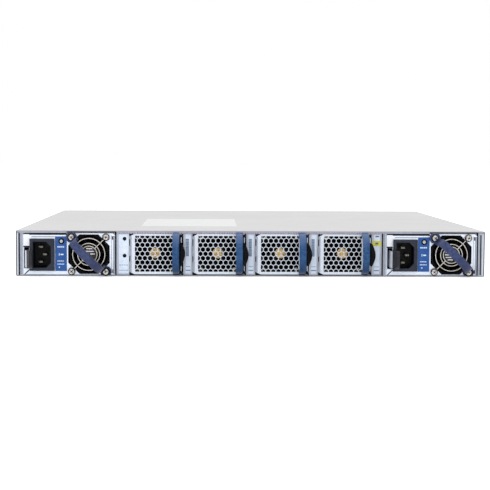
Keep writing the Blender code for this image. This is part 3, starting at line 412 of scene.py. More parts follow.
def add_rings(bm, rings, closed=False, caps=True):
    """Joins rings of points into a skin."""
    made = [[bm.verts.new(point) for point in ring] for ring in rings]
    pairs = list(zip(made, made[1:]))
    if closed:
        pairs.append((made[-1], made[0]))
    for one, two in pairs:
        count = len(one)
        for i in range(count):
            j = (i + 1) % count
            bm.faces.new((one[i], one[j], two[j], two[i]))
    if caps and not closed:
        bm.faces.new(made[0][::-1])
        bm.faces.new(made[-1])


def circle_points(radius, sides, start=0.0):
    turns = [start + 2 * math.pi * i / sides for i in range(sides)]
    return [(radius * math.cos(turn), radius * math.sin(turn)) for turn in turns]


def rounded_points(width, thick, radius, steps=4):
    """A rounded rectangle about 0, 0."""
    points = []
    for cx, cy, base in ((1, 1, 0), (-1, 1, 90), (-1, -1, 180), (1, -1, 270)):
        for i in range(steps + 1):
            turn = math.radians(base + 90 * i / steps)
            x = cx * (width / 2 - radius) + radius * math.cos(turn)
            y = cy * (thick / 2 - radius) + radius * math.sin(turn)
            points.append((x, y))
    return points


def add_tube(bm, path, radius, sides=10, closed=False):
    """A round wire along a path."""
    path = [Vector(point) for point in path]
    rings, normal = [], None
    for i, point in enumerate(path):
        after = path[(i + 1) % len(path)] if closed else path[min(i + 1, len(path) - 1)]
        before = path[i - 1] if closed or i else path[0]
        along = (after - before).normalized()
        if normal is None:
            normal = along.orthogonal().normalized()
            if closed:
                normal = Y.copy()
        side = along.cross(normal).normalized()
        normal = side.cross(along).normalized()
        rings.append(ring_of(point, normal, side, circle_points(radius, sides)))
    add_rings(bm, rings, closed)


def add_strip(bm, path, across, section):
    """A section swept along a path that lies in one plane. The section's x is along across."""
    path = [Vector(point) for point in path]
    rings = []
    for i, point in enumerate(path):
        along = (path[min(i + 1, len(path) - 1)] - path[max(i - 1, 0)]).normalized()
        rings.append(ring_of(point, across, along.cross(across).normalized(), section))
    add_rings(bm, rings)


def add_turned(bm, centre, axis, profile, sides=24):
    """A (radius, height) profile turned about an axis, on which it starts and ends."""
    axis = axis.normalized()
    u = axis.orthogonal().normalized()
    v = axis.cross(u)
    rings = [
        ring_of(centre + axis * height, u, v, circle_points(max(radius, 0.01 * MM), sides))
        for radius, height in profile
    ]
    add_rings(bm, rings)


def boolean(piece, cutters, operation="DIFFERENCE"):
    """Cuts a piece by others, for good, and removes them."""
    for cutter in cutters:
        modifier = piece.modifiers.new("cut", "BOOLEAN")
        modifier.operation = operation
        modifier.solver = "EXACT"
        modifier.object = cutter
    bpy.context.view_layer.update()
    graph = bpy.context.evaluated_depsgraph_get()
    mesh = bpy.data.meshes.new_from_object(piece.evaluated_get(graph))
    piece.modifiers.clear()
    piece.data = mesh
    for cutter in cutters:
        bpy.data.objects.remove(cutter)
    return piece


def loose(bm):
    """A throw-away object, for cutting with."""
    bmesh.ops.recalc_face_normals(bm, faces=bm.faces)
    mesh = bpy.data.meshes.new("cutter")
    bm.to_mesh(mesh)
    bm.free()
    made = bpy.data.objects.new("cutter", mesh)
    bpy.context.scene.collection.objects.link(made)
    return made


def facing(origin, x_axis, y_axis):
    """Placing for an outline: its own X, Y and Z are x_axis, y_axis and their cross product."""
    rows = Matrix((x_axis, y_axis, x_axis.cross(y_axis))).transposed().to_4x4()
    return Matrix.Translation(origin) @ rows


def outward(x, y, z):
    """Placing on the module side: X and Z across it, and out towards -Y."""
    return facing(Vector((x, y, z)), X, Z)


def in_metres(points):
    """Pairs given in millimetres."""
    return [(a * MM, b * MM) for a, b in points]


def block_at(bm, origin, low, high, radius=0.0, segments=1):
    """A box whose corners and rounding are given in millimetres from an origin."""
    low, high = ([start + step * MM for start, step in zip(origin, end)] for end in (low, high))
    add_block(bm, low, high, radius * MM, segments)


def add_boss(bm, centre, profile, sides):
    """A (radius, height) profile in millimetres, turned about a line out of the face."""
    add_turned(bm, centre, -Y, in_metres(profile), sides)


def add_collar(bm, centre, profile, sides):
    """A closed (radius, height) profile in millimetres, with a hole in the middle."""
    rings = [ring_of(centre - Y * h * MM, X, Z, circle_points(r * MM, sides)) for r, h in profile]
    add_rings(bm, rings, closed=True)


def round_edges(piece, width, smooth):
    """Rounds the sharp edges of a piece that was cut to shape."""
    bevel = piece.modifiers.new("rounding", "BEVEL")
    bevel.width = width
    bevel.segments = 2
    bevel.limit_method = "ANGLE"
    bevel.angle_limit = math.radians(35)
    piece.data.shade_smooth()
    piece.data.set_sharp_from_angle(angle=math.radians(smooth))


# ---------------- screws


def screw_mesh(name, radius, height, axis):
    """A cross-recessed pan head standing on 0, 0, 0 along axis."""
    bm = bmesh.new()
    profile = [(0, 0), (radius, 0), (radius, height * 0.3)]
    for i in range(1, 7):
        turn = math.radians(90 * i / 6)
        out, up = 0.45 + 0.55 * math.cos(turn), 0.3 + 0.7 * math.sin(turn)
        profile.append((radius * out, height * up))
    profile.append((0, height))
    add_turned(bm, Vector(), axis, profile, 28)
    bmesh.ops.recalc_face_normals(bm, faces=bm.faces)
    head = loose(bm)
    bm = bmesh.new()
    u = axis.orthogonal().normalized()
    v = axis.cross(u)
    placing = facing(axis * height * 0.35, u, v)
    arm, half = radius * 0.52, radius * 0.13
    cross = [(half, half), (arm, half), (arm, -half), (half, -half), (half, -arm), (-half, -arm)]
    cross += [(-half, -half), (-arm, -half), (-arm, half), (-half, half), (-half, arm), (half, arm)]
    add_prism(bm, cross[::-1], placing, height)
    boolean(head, [loose(bm)])
    mesh = head.data
    mesh.name = name
    bpy.data.objects.remove(head)
    mesh.materials.clear()
    mesh.materials.append(LOOKS["screw"])
    # painted shade inside the cross recess
    mesh.materials.append(LOOKS["shadow"])  # inside the cross
    for face in mesh.polygons:
        up = face.center.dot(axis)
        out = (face.center - axis * up).length
        in_cross = out < arm and 0.3 * height < up < 0.9 * height
        face.material_index = 1 if in_cross else 0
    return mesh


def put_screw(name, mesh, position, body, turn):
    piece = bpy.data.objects.new(name, mesh)
    bpy.context.scene.collection.objects.link(piece)
    piece.matrix_world = Matrix.Translation(position) @ Matrix.Rotation(turn, 4, "Y")
    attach(piece, body)


# ---------------- fan modules


# in millimetres; the first hole and the handle are placed from the module's datum
HOLE_PITCH, HOLE_FLATS, HOLE_EDGE, FIRST_HOLE, SCREEN_Z = 4.7625, 3.85, 4.15, 6.6, 21.3
HANDLE_X, HANDLE_HALF, HANDLE_BOW = (39.7, 46.1), 17.6, 14.0
FOLD_T = 0.7


def fan_screen(number, left):
    """The perforated face, with its holes opened out to the rounded edges of the punching."""
    node = f"fan_face_{number}"
    mesh = frame["nodes"][node].data.copy()
    mesh.name = f"screen_face_{number}"
    row_pitch = HOLE_PITCH * math.sin(math.radians(60))
    reach, grow = HOLE_FLATS / math.sqrt(3), HOLE_EDGE / HOLE_FLATS
    for vertex in mesh.vertices:
        x, z = (vertex.co.x - left) / MM - FIRST_HOLE, vertex.co.z / MM - SCREEN_Z
        for row in (math.floor(z / row_pitch), math.ceil(z / row_pitch)):
            shift = -HOLE_PITCH / 2 if row % 2 else 0
            column = round((x - shift) / HOLE_PITCH)
            off_x, off_z = x - shift - column * HOLE_PITCH, z - row * row_pitch
            if abs(math.hypot(off_x, off_z) - reach) < 0.03:  # a corner of this hole
                vertex.co.x += off_x * (grow - 1) * MM
                vertex.co.z += off_z * (grow - 1) * MM
                break
    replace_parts(place(f"screen_face_{number}", mesh, "fan_steel", f"fan_module_{number}"), node)


def fan_handle(number, left):
    body, node = f"fan_module_{number}", f"fan_handle_{number}"
    low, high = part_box(node)
    floor, middle = high.y, (low.z + high.z) / 2
    half, steps = HANDLE_HALF * MM, 44
    centre_x = left + (HANDLE_X[0] + HANDLE_X[1]) / 2 * MM
    path = []
    for i in range(steps + 1):
        turn = math.pi * i / steps
        bow = max(math.sin(turn), 0) ** 0.75
        rise = math.copysign(abs(math.cos(turn)) ** 0.75, math.cos(turn))
        path.append((centre_x, floor - 0.4 * MM - HANDLE_BOW * MM * bow, middle - half * rise))
    bm = bmesh.new()
    add_strip(bm, path, X, rounded_points(6.4 * MM, 2.6 * MM, 1.0 * MM))
    for z in (middle - half, middle + half):
        block_at(bm, (centre_x, floor, z), (-2.9, -1.2, -2.2), (2.9, 0, 2.2), 0.35, 2)
    handle = finish_piece(f"pull_handle_{number}", bm, "blue", body, 40)
    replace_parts(handle, node)


def fan_latch(number, left):
    body, node = f"fan_latch_{number}", f"fan_latch_{number}"
    low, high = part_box(node)
    x0, thin, bulge, z0, z1 = left + 47.3 * MM, 0.8 * MM, 4.1 * MM, 11.0 * MM, 32.0 * MM
    loop = [(x0, z0)]
    for i in range(17):
        share = i / 16
        out = thin + (bulge - thin) * math.sin(math.pi * share)
        loop.append((x0 + out, z0 + (z1 - z0) * share))
    loop.append((x0, z1))
    bm = bmesh.new()
    add_prism(bm, loop, outward(0, FACE_Y - 1.5 * MM, 0), 14.3 * MM, 0.5 * MM)
    for i in range(9):
        rib_z = z0 + 3.3 * MM + i * 1.8 * MM
        block_at(bm, (x0, FACE_Y, rib_z), (-0.2, -15.2, -0.35), (0.4, -4, 0.35), 0.12)
    pad = finish_piece(f"latch_pad_{number}", bm, "black", body, 35)
    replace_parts(pad, node)
    bm = bmesh.new()
    spring_low = (left + 47.4 * MM, FACE_Y - 4.0 * MM, low.z - 0.5 * MM)
    add_block(bm, spring_low, (left + 48.1 * MM, high.y, high.z + 1.0 * MM), 0.15 * MM, 1)
    finish_piece(f"latch_spring_{number}", bm, "fold_steel", body)


def fan_screws(number, screw):
    low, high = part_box(f"fan_housing_{number}")
    centre = (low + high) / 2
    for i, (sx, sz) in enumerate(((-1, -1), (1, -1), (-1, 1), (1, 1))):
        position = Vector((centre.x + sx * 15.8 * MM, low.y, centre.z + sz * 15.8 * MM))
        put_screw(f"fan_screw_{number}_{i + 1}", screw, position, f"fan_module_{number}", 0.3 * i)


def fan_hub(number):
    """Blank foil and a small cap on the rotor's hub."""
    rotor = f"fan_rotor_{number}"
    spin = JOINTS[f"fan_spin_{number}"]["pos_m"]
    centre = Vector((spin[0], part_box(rotor)[0].y, spin[2]))
    bm = bmesh.new()
    add_boss(bm, centre, [(0, 0), (5.0, 0), (5.0, 0.2), (4.8, 0.3), (0, 0.3)], 36)
    finish_piece(f"hub_label_{number}", bm, "gold", rotor)
    bm = bmesh.new()
    add_boss(bm, centre, [(0, 0.28), (1.5, 0.28), (1.5, 0.5), (1.1, 0.7), (0, 0.7)], 20)
    finish_piece(f"hub_cap_{number}", bm, "contact", rotor)


def fan_face_edges(number, left):
    """Folds at the top and bottom of the face, its rolled left edge, and the gaps round it, painted
    in as near-black shade.
    """
    body = f"fan_module_{number}"
    low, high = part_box(f"fan_face_{number}")
    folds = ((low.z, low.z + FOLD_T * MM, 1.4), (high.z - FOLD_T * MM, high.z, 8))
    bm = bmesh.new()
    for z0, z1, depth in folds:
        fold_low = (left + 3.2 * MM, high.y - 0.1 * MM, z0)
        add_block(bm, fold_low, (left + 46.0 * MM, high.y + depth * MM, z1), 0.2 * MM, 1)
    finish_piece(f"face_fold_{number}", bm, "fold_steel", body)
    face = (left, low.y, 0)
    # the rolled edge's darker steel is partly painted shade of the bend
    bm = bmesh.new()
    for z0, z1 in ((4.2, 13.8), (19.2, 28.8), (35.2, 37.6)):
        block_at(bm, face, (-0.93, -0.35, z0), (1.2, 0.1, z1), 0.2, 2)
    for z0, z1 in ((13.8, 19.2), (28.8, 35.2)):
        block_at(bm, face, (-0.1, -0.3, z0), (1.2, 0.1, z1), 0.15, 2)
    finish_piece(f"rolled_edge_{number}", bm, "edge_steel", body)
    # painted shade: near-black sheets in the slits of the rolled edge, in its corners and round the
    # latch
    bm = bmesh.new()
    for z0, z1 in ((14.0, 19.0), (29.0, 35.0)):
        block_at(bm, face, (-0.65, -0.05, z0), (-0.15, 0.05, z1), 0.02)
    marks = (
        [(3.9, 2.0), (-0.7, 2.0), (-0.7, 4.4)],
        [(-0.7, 37.4), (3.9, 39.8), (-0.7, 39.8)],
        [(45.1, 2.2), (46.4, 2.2), (46.4, 39.5), (45.1, 39.5)],
        [(46.4, 2.2), (49.3, 2.2), (49.3, 5.0), (46.4, 5.0)],
        [(46.4, 37.0), (49.3, 37.0), (49.3, 39.5), (46.4, 39.5)],
    )
    for loop in marks:
        points = [(left + x, z) for x, z in in_metres(loop)]
        add_prism(bm, points, outward(0, low.y + 0.02 * MM, 0), 0.08 * MM)
    finish_piece(f"face_shade_marks_{number}", bm, "shadow", body)


def fan_modules():
    screw = screw_mesh("fan_corner_screw", 2.6 * MM, 1.4 * MM, -Y)
    for number in FAN_MODULES:
        left = fan_datum(number)
        fan_screen(number, left)
        fan_handle(number, left)
        fan_latch(number, left)
        fan_screws(number, screw)
        fan_hub(number)
        fan_face_edges(number, left)


# ---------------- power supplies


# in millimetres; the strap's points are along it from the middle, and out from the face
SCREW_HALF, STRAP_W, STRAP_T = 16.0, 7.6, 1.8
GUARD_RINGS, WIRE = (15.0, 10.3, 7.7), 0.42
RECESS_Z, RECESS_DEPTH = 39.65, 11.6
# rows of label marks: how far up, how high, how many, how wide
MARK_ROWS = ((27.0, 2.0, 4, 1.35), (13.9, 1.4, 4, 1.25), (11.0, 1.4, 5, 1.0))
# bars on the hub: how far above its axis, left end, right end
HUB_BARS = ((4.4, -2.8, 2.8), (1.9, -4.4, 4.4), (-0.6, -5.0, -0.9), (-0.6, 0.9, 5.0))
HUB_BARS += ((-3.1, -4.4, 1.4), (-5.4, -2.4, 2.4))
# dark lines on the face, painted shade in its folds, slots and joints: left, bottom, right, top,
# and how far they stand out
GROOVE_SHADES = ((7.5, 37.0, 39.0, 37.4, 0.03), (0.0, 27.3, 5.5, 28.5, 0.1))
GROOVE_SHADES += ((81.9, 3.0, 82.2, 38.2, 0.03), (82.6, 34.4, 83.9, 37.8, 0.05))
GROOVE_SHADES += ((82.8, 3.0, 84.1, 6.6, 0.05), (-0.3, 38.8, 40.6, 39.8, 0.04))
GROOVE_SHADES += ((40.4, 40.4, 84.0, 40.9, 0.04),)
STRAP_HALF = [(0, 32.1), (5, 31.9), (10.3, 30.9), (14.6, 28.4), (17.4, 24.4), (18.4, 19.5)]
STRAP_HALF += [(18.3, 14.5), (17.7, 9.0), (17.4, 5.6), (18.1, 3.7), (19.8, 2.95), (22.6, 2.95)]


def smoothed(points, steps):
    """A curve through the points."""
    out = []
    for i in range(len(points) - 1):
        p0, p1 = points[max(i - 1, 0)], points[i]
        p2, p3 = points[i + 1], points[min(i + 2, len(points) - 1)]
        for k in range(steps):
            t = k / steps
            shares = (
                (-t + 2 * t * t - t**3) / 2,
                (2 - 5 * t * t + 3 * t**3) / 2,
                (t + 4 * t * t - 3 * t**3) / 2,
                (t**3 - t * t) / 2,
            )
            four = list(zip(shares, (p0, p1, p2, p3)))
            out.append(tuple(sum(share * point[a] for share, point in four) for a in (0, 1)))
    return [*out, points[-1]]


def psu_strap(number, centre):
    along, across = Vector((1, 0, -1)).normalized(), Vector((1, 0, 1)).normalized()
    half = [(-distance, out) for distance, out in STRAP_HALF[:0:-1]]
    path = [centre + along * d * MM - Y * out * MM for d, out in smoothed(half + STRAP_HALF, 4)]
    bm = bmesh.new()
    add_strip(bm, path, across, rounded_points(STRAP_W * MM, STRAP_T * MM, 0.6 * MM))
    for side in (-1, 1):
        end = centre + along * side * SCREW_HALF * math.sqrt(2) * MM - Y * 2.05 * MM
        add_boss(bm, end, [(0, 0), (5.0, 0), (5.2, 0.2), (5.2, 1.5), (4.9, 1.8), (0, 1.8)], 36)
    case_low, case_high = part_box(f"psu_case_{number}")
    for height, direction in ((case_low.z + 0.4 * MM, -1), (case_high.z - 0.3 * MM, 1)):
        cut = bmesh.ops.bisect_plane(
            bm,
            geom=bm.verts[:] + bm.edges[:] + bm.faces[:],
            plane_co=(0, 0, height),
            plane_no=(0, 0, direction),
            clear_outer=True,
        )
        rim = [item for item in cut["geom_cut"] if isinstance(item, bmesh.types.BMEdge)]
        bmesh.ops.holes_fill(bm, edges=rim)
    strap = finish_piece(f"pull_strap_{number}", bm, "strap", f"power_supply_{number}", 35)
    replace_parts(strap, f"psu_strap_{number}")


def psu_guard(number, centre):
    bm = bmesh.new()
    ring_centre = centre - Y * 1.9 * MM
    for radius in GUARD_RINGS:
        points = [ring_centre + X * a + Z * b for a, b in circle_points(radius * MM, 56)]
        add_tube(bm, points, WIRE * MM, 10, closed=True)
    eye, inner = 2.5, GUARD_RINGS[-1]
    for sx in (-1, 1):
        for sz in (-1, 1):
            inward = Vector((-sx, 0, -sz)).normalized()
            corner = centre + Vector((sx, 0, sz)) * SCREW_HALF * MM
            eye_centre = corner - Y * 0.8 * MM
            points = [eye_centre + X * a + Z * b for a, b in circle_points(eye * MM, 28)]
            add_tube(bm, points, WIRE * MM, 10, closed=True)
            start = eye_centre + inward * eye * MM
            stop = centre - Y * 1.5 * MM - inward * (inner - 0.4) * MM
            path = [start.lerp(stop, i / 8) for i in range(9)]
            add_tube(bm, path, WIRE * MM, 10)
    guard = finish_piece(f"finger_guard_{number}", bm, "wire", f"power_supply_{number}", 60)
    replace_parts(guard, f"psu_guard_{number}")


def psu_inlet(number, left):
    body, node = f"power_supply_{number}", f"psu_inlet_{number}"
    low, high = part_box(node)
    front = low.y
    bm = bmesh.new()
    add_block(bm, (low.x, front, low.z), (high.x, FACE_Y - 0.3 * MM, high.z), 0.5 * MM, 3)
    flange = finish_piece(f"mains_inlet_{number}", bm, "inlet", body)
    bm = bmesh.new()
    body_low = (left + 7.4 * MM, FACE_Y - 0.6 * MM, 6.8 * MM)
    add_block(bm, body_low, (left + 27.4 * MM, high.y, 33.4 * MM), 0.4 * MM, 2)
    boolean(flange, [loose(bm)], "UNION")
    x0, z0, x1, z1, chamfer = 8.9, 8.0, 25.7, 32.5, 4.6
    key = [(x0, z0), (x1 - chamfer, z0), (x1, z0 + chamfer)]
    key += [(x1, z1 - chamfer), (x1 - chamfer, z1), (x0, z1)]
    key = [(left + x, z) for x, z in in_metres(key)]
    bm = bmesh.new()
    add_prism(bm, key, outward(0, front + 16.5 * MM, 0), 20 * MM)
    boolean(flange, [loose(bm)])
    round_edges(flange, 0.25 * MM, 30)
    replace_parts(flange, node)
    bm = bmesh.new()
    for x, z in ((15.7, 27.3), (15.7, 13.3), (19.6, 20.3)):
        block_at(bm, (left, front, 0), (x - 2, 4.5, z - 1), (x + 2, 17, z + 1), 0.55, 2)
    finish_piece(f"inlet_pins_{number}", bm, "pin", body)


def psu_latch(number, left):
    body, node = f"psu_latch_{number}", f"psu_latch_{number}"
    z0, z1 = 8.3 * MM, 25.3 * MM
    root = Vector((left + 2.3 * MM, FACE_Y, z0))
    profile = [(-17.5, 5.0), (-17.3, 7.6), (-16.4, 7.9), (-13, 7.2), (-9, 5.9), (-6, 4.6)]
    profile += [(-5.0, 3.4), (-5.0, 1.3), (-7, 1.3), (-10, 1.9), (-14, 3.6)]
    bm = bmesh.new()
    add_prism(bm, in_metres(profile)[::-1], facing(root, Y, X), -(z1 - z0))
    tab = finish_piece(f"release_tab_{number}", bm, "tab", body)
    bm = bmesh.new()
    # the free corners are rounded: the lower one most
    for height, radius, side in ((z0, 5.5 * MM, 1), (z1, 2.0 * MM, -1)):
        corner_y = FACE_Y - 17.6 * MM
        arc = [(corner_y - 3 * MM, height - side * 3 * MM)]
        arc.append((corner_y + radius, height - side * 3 * MM))
        for i in range(9):
            turn = math.radians(90 * i / 8)
            y = corner_y + radius - radius * math.sin(turn)
            z = height + side * (radius - radius * math.cos(turn))
            arc.append((y, z))
        arc.append((corner_y - 3 * MM, height + side * radius))
        add_prism(bm, arc, facing(Vector((left - 2 * MM, 0, 0)), Y, Z), 16 * MM)
    boolean(tab, [loose(bm)])
    round_edges(tab, 0.35 * MM, 35)
    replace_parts(tab, node)
    bm = bmesh.new()
    spring = [(-10.6, 2.5), (-10.9, 3.3), (-7.9, 1.1), (26, 1.1), (26, 0.3), (-7.6, 0.3)]
    placing = facing(root + Z * 0.6 * MM, Y, X)
    add_prism(bm, in_metres(spring)[::-1], placing, -(z1 - z0 - 1.2 * MM))
    finish_piece(f"release_spring_{number}", bm, "fold_steel", body)


def plate_on(bm, left, x0, z0, x1, z1, lift=0.2, base=0.0):
    """A thin film or mark on a power supply's or post's face."""
    low = (left + x0 * MM, FACE_Y - (base + lift) * MM, z0 * MM)
    add_block(bm, low, (left + x1 * MM, FACE_Y - base * MM + 0.02 * MM, z1 * MM))


def psu_labels(number, left):
    """Blue film with plain marks, the status light on it, and the sticker above the release tab."""
    body, origin = f"power_supply_{number}", (left, FACE_Y, 0)
    bm = bmesh.new()
    block_at(bm, origin, (29.5, -0.25, 4.9), (40.4, 0.02, 37.4), 0.1)
    finish_piece(f"blue_label_{number}", bm, "blue_label", body)
    bm = bmesh.new()
    film = 0.24
    for z, height, count, width in MARK_ROWS:
        for i in range(count):
            x = 31.6 + i * (width + 0.32)
            plate_on(bm, left, x, z, x + width, z + height * 0.62, 0.04, film)
    plate_on(bm, left, 32.8, 8.0, 34.0, 9.0, 0.04, film)
    plate_on(bm, left, 33.0, 19.4, 33.7, 21.6, 0.06, film)
    plate_on(bm, left, 34.6, 19.9, 37.3, 21.1, 0.06, film)
    finish_piece(f"label_marks_{number}", bm, "white_ink", body)
    bm = bmesh.new()
    centre = Vector((left + 35.4 * MM, FACE_Y - film * MM, 32.9 * MM))
    collar = [(1.7, 0.0), (2.7, 0.0), (2.75, 0.3), (2.45, 0.55), (1.95, 0.5), (1.7, 0.2)]
    add_collar(bm, centre, collar, 32)
    finish_piece(f"light_ring_{number}", bm, "black", body)
    bm = bmesh.new()
    dome = [(0, -0.6), (1.62, -0.6), (1.62, 0.1), (1.4, 0.5), (0.9, 0.75), (0.4, 0.85), (0, 0.87)]
    add_boss(bm, centre, dome, 28)
    finish_piece(f"status_light_{number}", bm, "lens", body)
    bm = bmesh.new()
    block_at(bm, origin, (0, -0.12, 28.7), (5.5, 0.02, 39.4))
    finish_piece(f"side_sticker_{number}", bm, "white_film", body)


def psu_face_lines(number, left):
    """Folds, slots and joints of the face sheet, as narrow dark grooves painted in shade, and its
    greyer edges, whose grey is partly painted shade.
    """
    body, origin = f"power_supply_{number}", (left, FACE_Y, 0)
    bm = bmesh.new()
    for shade_line in GROOVE_SHADES:
        plate_on(bm, left, *shade_line)
    # a diagonal slit, as painted shade
    start, stop = Vector((left + 1.0 * MM, 0, 1.8 * MM)), Vector((left + 5.9 * MM, 0, 6.5 * MM))
    along = (stop - start).normalized()
    across = Vector((-along.z, 0, along.x)) * 0.45 * MM
    corners = (start - across, stop - across, stop + across, start + across)
    slit = [(corner.x, corner.z) for corner in corners]
    add_prism(bm, slit, outward(0, FACE_Y + 0.02 * MM, 0), 0.12 * MM)
    # painted shade on the floor and back wall of the recess along the top edge
    end = RECESS_DEPTH + 0.3
    block_at(bm, origin, (-0.2, 0.05, RECESS_Z - 0.1), (40.4, end, RECESS_Z + 0.15))
    block_at(bm, origin, (-0.2, RECESS_DEPTH, RECESS_Z), (40.4, end, 40.9))
    finish_piece(f"face_groove_shades_{number}", bm, "shadow", body)
    # greyer edge strips, partly painted shade
    bm = bmesh.new()
    block_at(bm, origin, (83.7, -0.4, 2.2), (85.3, 0.1, 37.8), 0.15)
    block_at(bm, origin, (-3.35, 0.7, 1.6), (-1.2, 0.9, 40.8), 0.05)
    plate_on(bm, left, -0.85, 1.4, -0.15, 40.9, 0.05)
    plate_on(bm, left, 0.0, 1.35, 85.2, 1.9, 0.05)
    finish_piece(f"face_edge_{number}", bm, "edge_steel", body)


def psu_fan_shade(number, left):
    """Dark sheet behind the fan, as painted shade inside the case."""
    case_low, case_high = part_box(f"psu_case_{number}")
    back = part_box(f"psu_fan_housing_{number}")[1].y
    bm = bmesh.new()
    low = (left + 41.5 * MM, back + 0.5 * MM, case_low.z + 1.2 * MM)
    add_block(bm, low, (left + 83.5 * MM, back + 1.1 * MM, case_high.z - 1.2 * MM), 0.1 * MM, 1)
    finish_piece(f"fan_back_shade_{number}", bm, "black", f"power_supply_{number}")


def bay_gap_shades():
    """Near-black sheets of painted shade in the narrow gaps round the power supplies, and the cut
    edges of the folds.
    """
    middle = (0, FACE_Y, 0)
    # painted shade in the gaps round each power supply and at the right end
    bm = bmesh.new()
    for left in map(psu_datum, SUPPLIES):
        origin = (left, FACE_Y, 0)
        block_at(bm, origin, (-4.45, 0.3, 1.2), (-3.5, 4, 41.0))
        block_at(bm, origin, (85.4, 0.3, 1.2), (86.55, 4, 41.0))
        block_at(bm, origin, (-3.4, 1.5, 41.15), (86.4, 4, 41.9))
        block_at(bm, origin, (-3.4, 1.5, 1.05), (86.4, 4, 1.22))
    block_at(bm, middle, (215.85, -0.06, 1.7), (216.9, 0.02, 39.7))
    finish_piece("bay_gap_shades", bm, "shadow", "chassis")
    # edge strips in darker steel, partly painted shade
    bm = bmesh.new()
    for x0, x1 in ((214.1, 215.8), (216.95, 217.8)):
        block_at(bm, middle, (x0, -0.1, 1.1), (x1, 0.4, 41.0), 0.08)
    for left in map(psu_datum, SUPPLIES):
        block_at(bm, (left, FACE_Y, 0), (-4.2, -0.08, 40.6), (40.3, 0.5, 42.2), 0.05)
    finish_piece("fold_edges", bm, "edge_steel", "chassis")
    bm = bmesh.new()
    for x0, x1 in ((-220.3, -219.2), (219.2, 220.3)):
        block_at(bm, middle, (x0, -0.1, 1.1), (x1, 0.4, 42.4), 0.08)
    finish_piece("cut_edges", bm, "cut_edge", "chassis")


def psu_fan_label(number):
    """Round film on the hub, with plain bars on it."""
    rotor = f"psu_fan_rotor_{number}"
    spin = JOINTS[f"psu_fan_spin_{number}"]["pos_m"]
    centre = Vector((spin[0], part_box(rotor)[0].y, spin[2]))
    bm = bmesh.new()
    add_boss(bm, centre, [(0, 0), (7.2, 0), (7.2, 0.15), (0, 0.25)], 40)
    finish_piece(f"fan_label_{number}", bm, "hub_film", rotor)
    bm = bmesh.new()
    for z, x0, x1 in HUB_BARS:
        block_at(bm, centre, (x0, -0.3, z), (x1, -0.1, z + 1.0))
    finish_piece(f"fan_label_marks_{number}", bm, "white_film", rotor)


def guard_screws(number, centre, screw):
    """Four screws with near-black washers, which paint the shade round the heads: two on the
    guard's eyes, and two higher on the strap's ends.
    """
    body = f"power_supply_{number}"
    bm = bmesh.new()
    for i, (sx, sz, lift) in enumerate(((-1, 1, 3.85), (1, -1, 3.85), (1, 1, 1.3), (-1, -1, 1.3))):
        position = centre + Vector((sx, 0, sz)) * SCREW_HALF * MM - Y * lift * MM
        rim = 3.9 if (sx, sz) == (1, -1) else 3.5
        profile = [(0, -0.05), (rim, -0.05), (rim, 0.2), (rim - 0.2, 0.3), (0, 0.3)]
        add_boss(bm, position, profile, 32)
        seat = position - Y * 0.25 * MM
        put_screw(f"guard_screw_{number}_{i + 1}", screw, seat, body, 0.5 * i)
    # the washers' near-black is painted shade round the heads
    finish_piece(f"screw_washers_{number}", bm, "black", body)


def power_supplies():
    screw = screw_mesh("pan_screw", 2.75 * MM, 2.0 * MM, -Y)
    for number in SUPPLIES:
        left = psu_datum(number)
        spin = JOINTS[f"psu_fan_spin_{number}"]["pos_m"]
        centre = Vector((spin[0], FACE_Y, spin[2]))
        psu_strap(number, centre)
        psu_guard(number, centre)
        psu_inlet(number, left)
        psu_latch(number, left)
        psu_labels(number, left)
        psu_face_lines(number, left)
        psu_fan_shade(number, left)
        psu_fan_label(number)
        guard_screws(number, centre, screw)


# ---------------- chassis


# in millimetres: left and right edges of each label from its post's left edge
LABELS, LABEL_T = ((2.2, 11.7), (1.9, 6.9), (1.9, 6.9), (1.9, 6.9), (2.1, 7.5)), 0.15


def post_spans():
    """Left and right edges of the five posts of the rear frame."""
    low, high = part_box("rear_frame")
    spans, left = [], low.x
    for number in FAN_MODULES:
        spans.append((left, fan_datum(number) - 1.0 * MM))
        left = fan_datum(number) + 49.7 * MM
    return [*spans, (left, high.x)]


def post_marks(bm, post, x0, left, right):
    """Plain marks on a post's label: bars, a line and, between the bays, a column of stripes."""
    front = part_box("rear_frame")[0].y - LABEL_T * MM

    def mark(x, z, width, height):
        low = (x, front - 0.03 * MM, z)
        add_block(bm, low, (x + width, front + 0.01 * MM, z + height))

    if 0 < post < len(LABELS) - 1:
        for row in range(33):
            height = 0.4 if (row * 7) % 5 < 3 else 0.28
            mark(x0 + 2.2 * MM, (19.0 + row * 0.5) * MM, 3.0 * MM, height * MM)
    if post:
        mark(left + 0.2 * MM, 5.3 * MM, right - left - 0.4 * MM, 0.8 * MM)
    for z, count in ((9.0, 4),) if post else ((10.3, 4), (5.4, 6)):
        pitch = (right - left - 0.8 * MM) / count
        for k in range(count):
            mark(left + 0.4 * MM + k * pitch, z * MM, pitch * 0.75, 0.55 * MM)


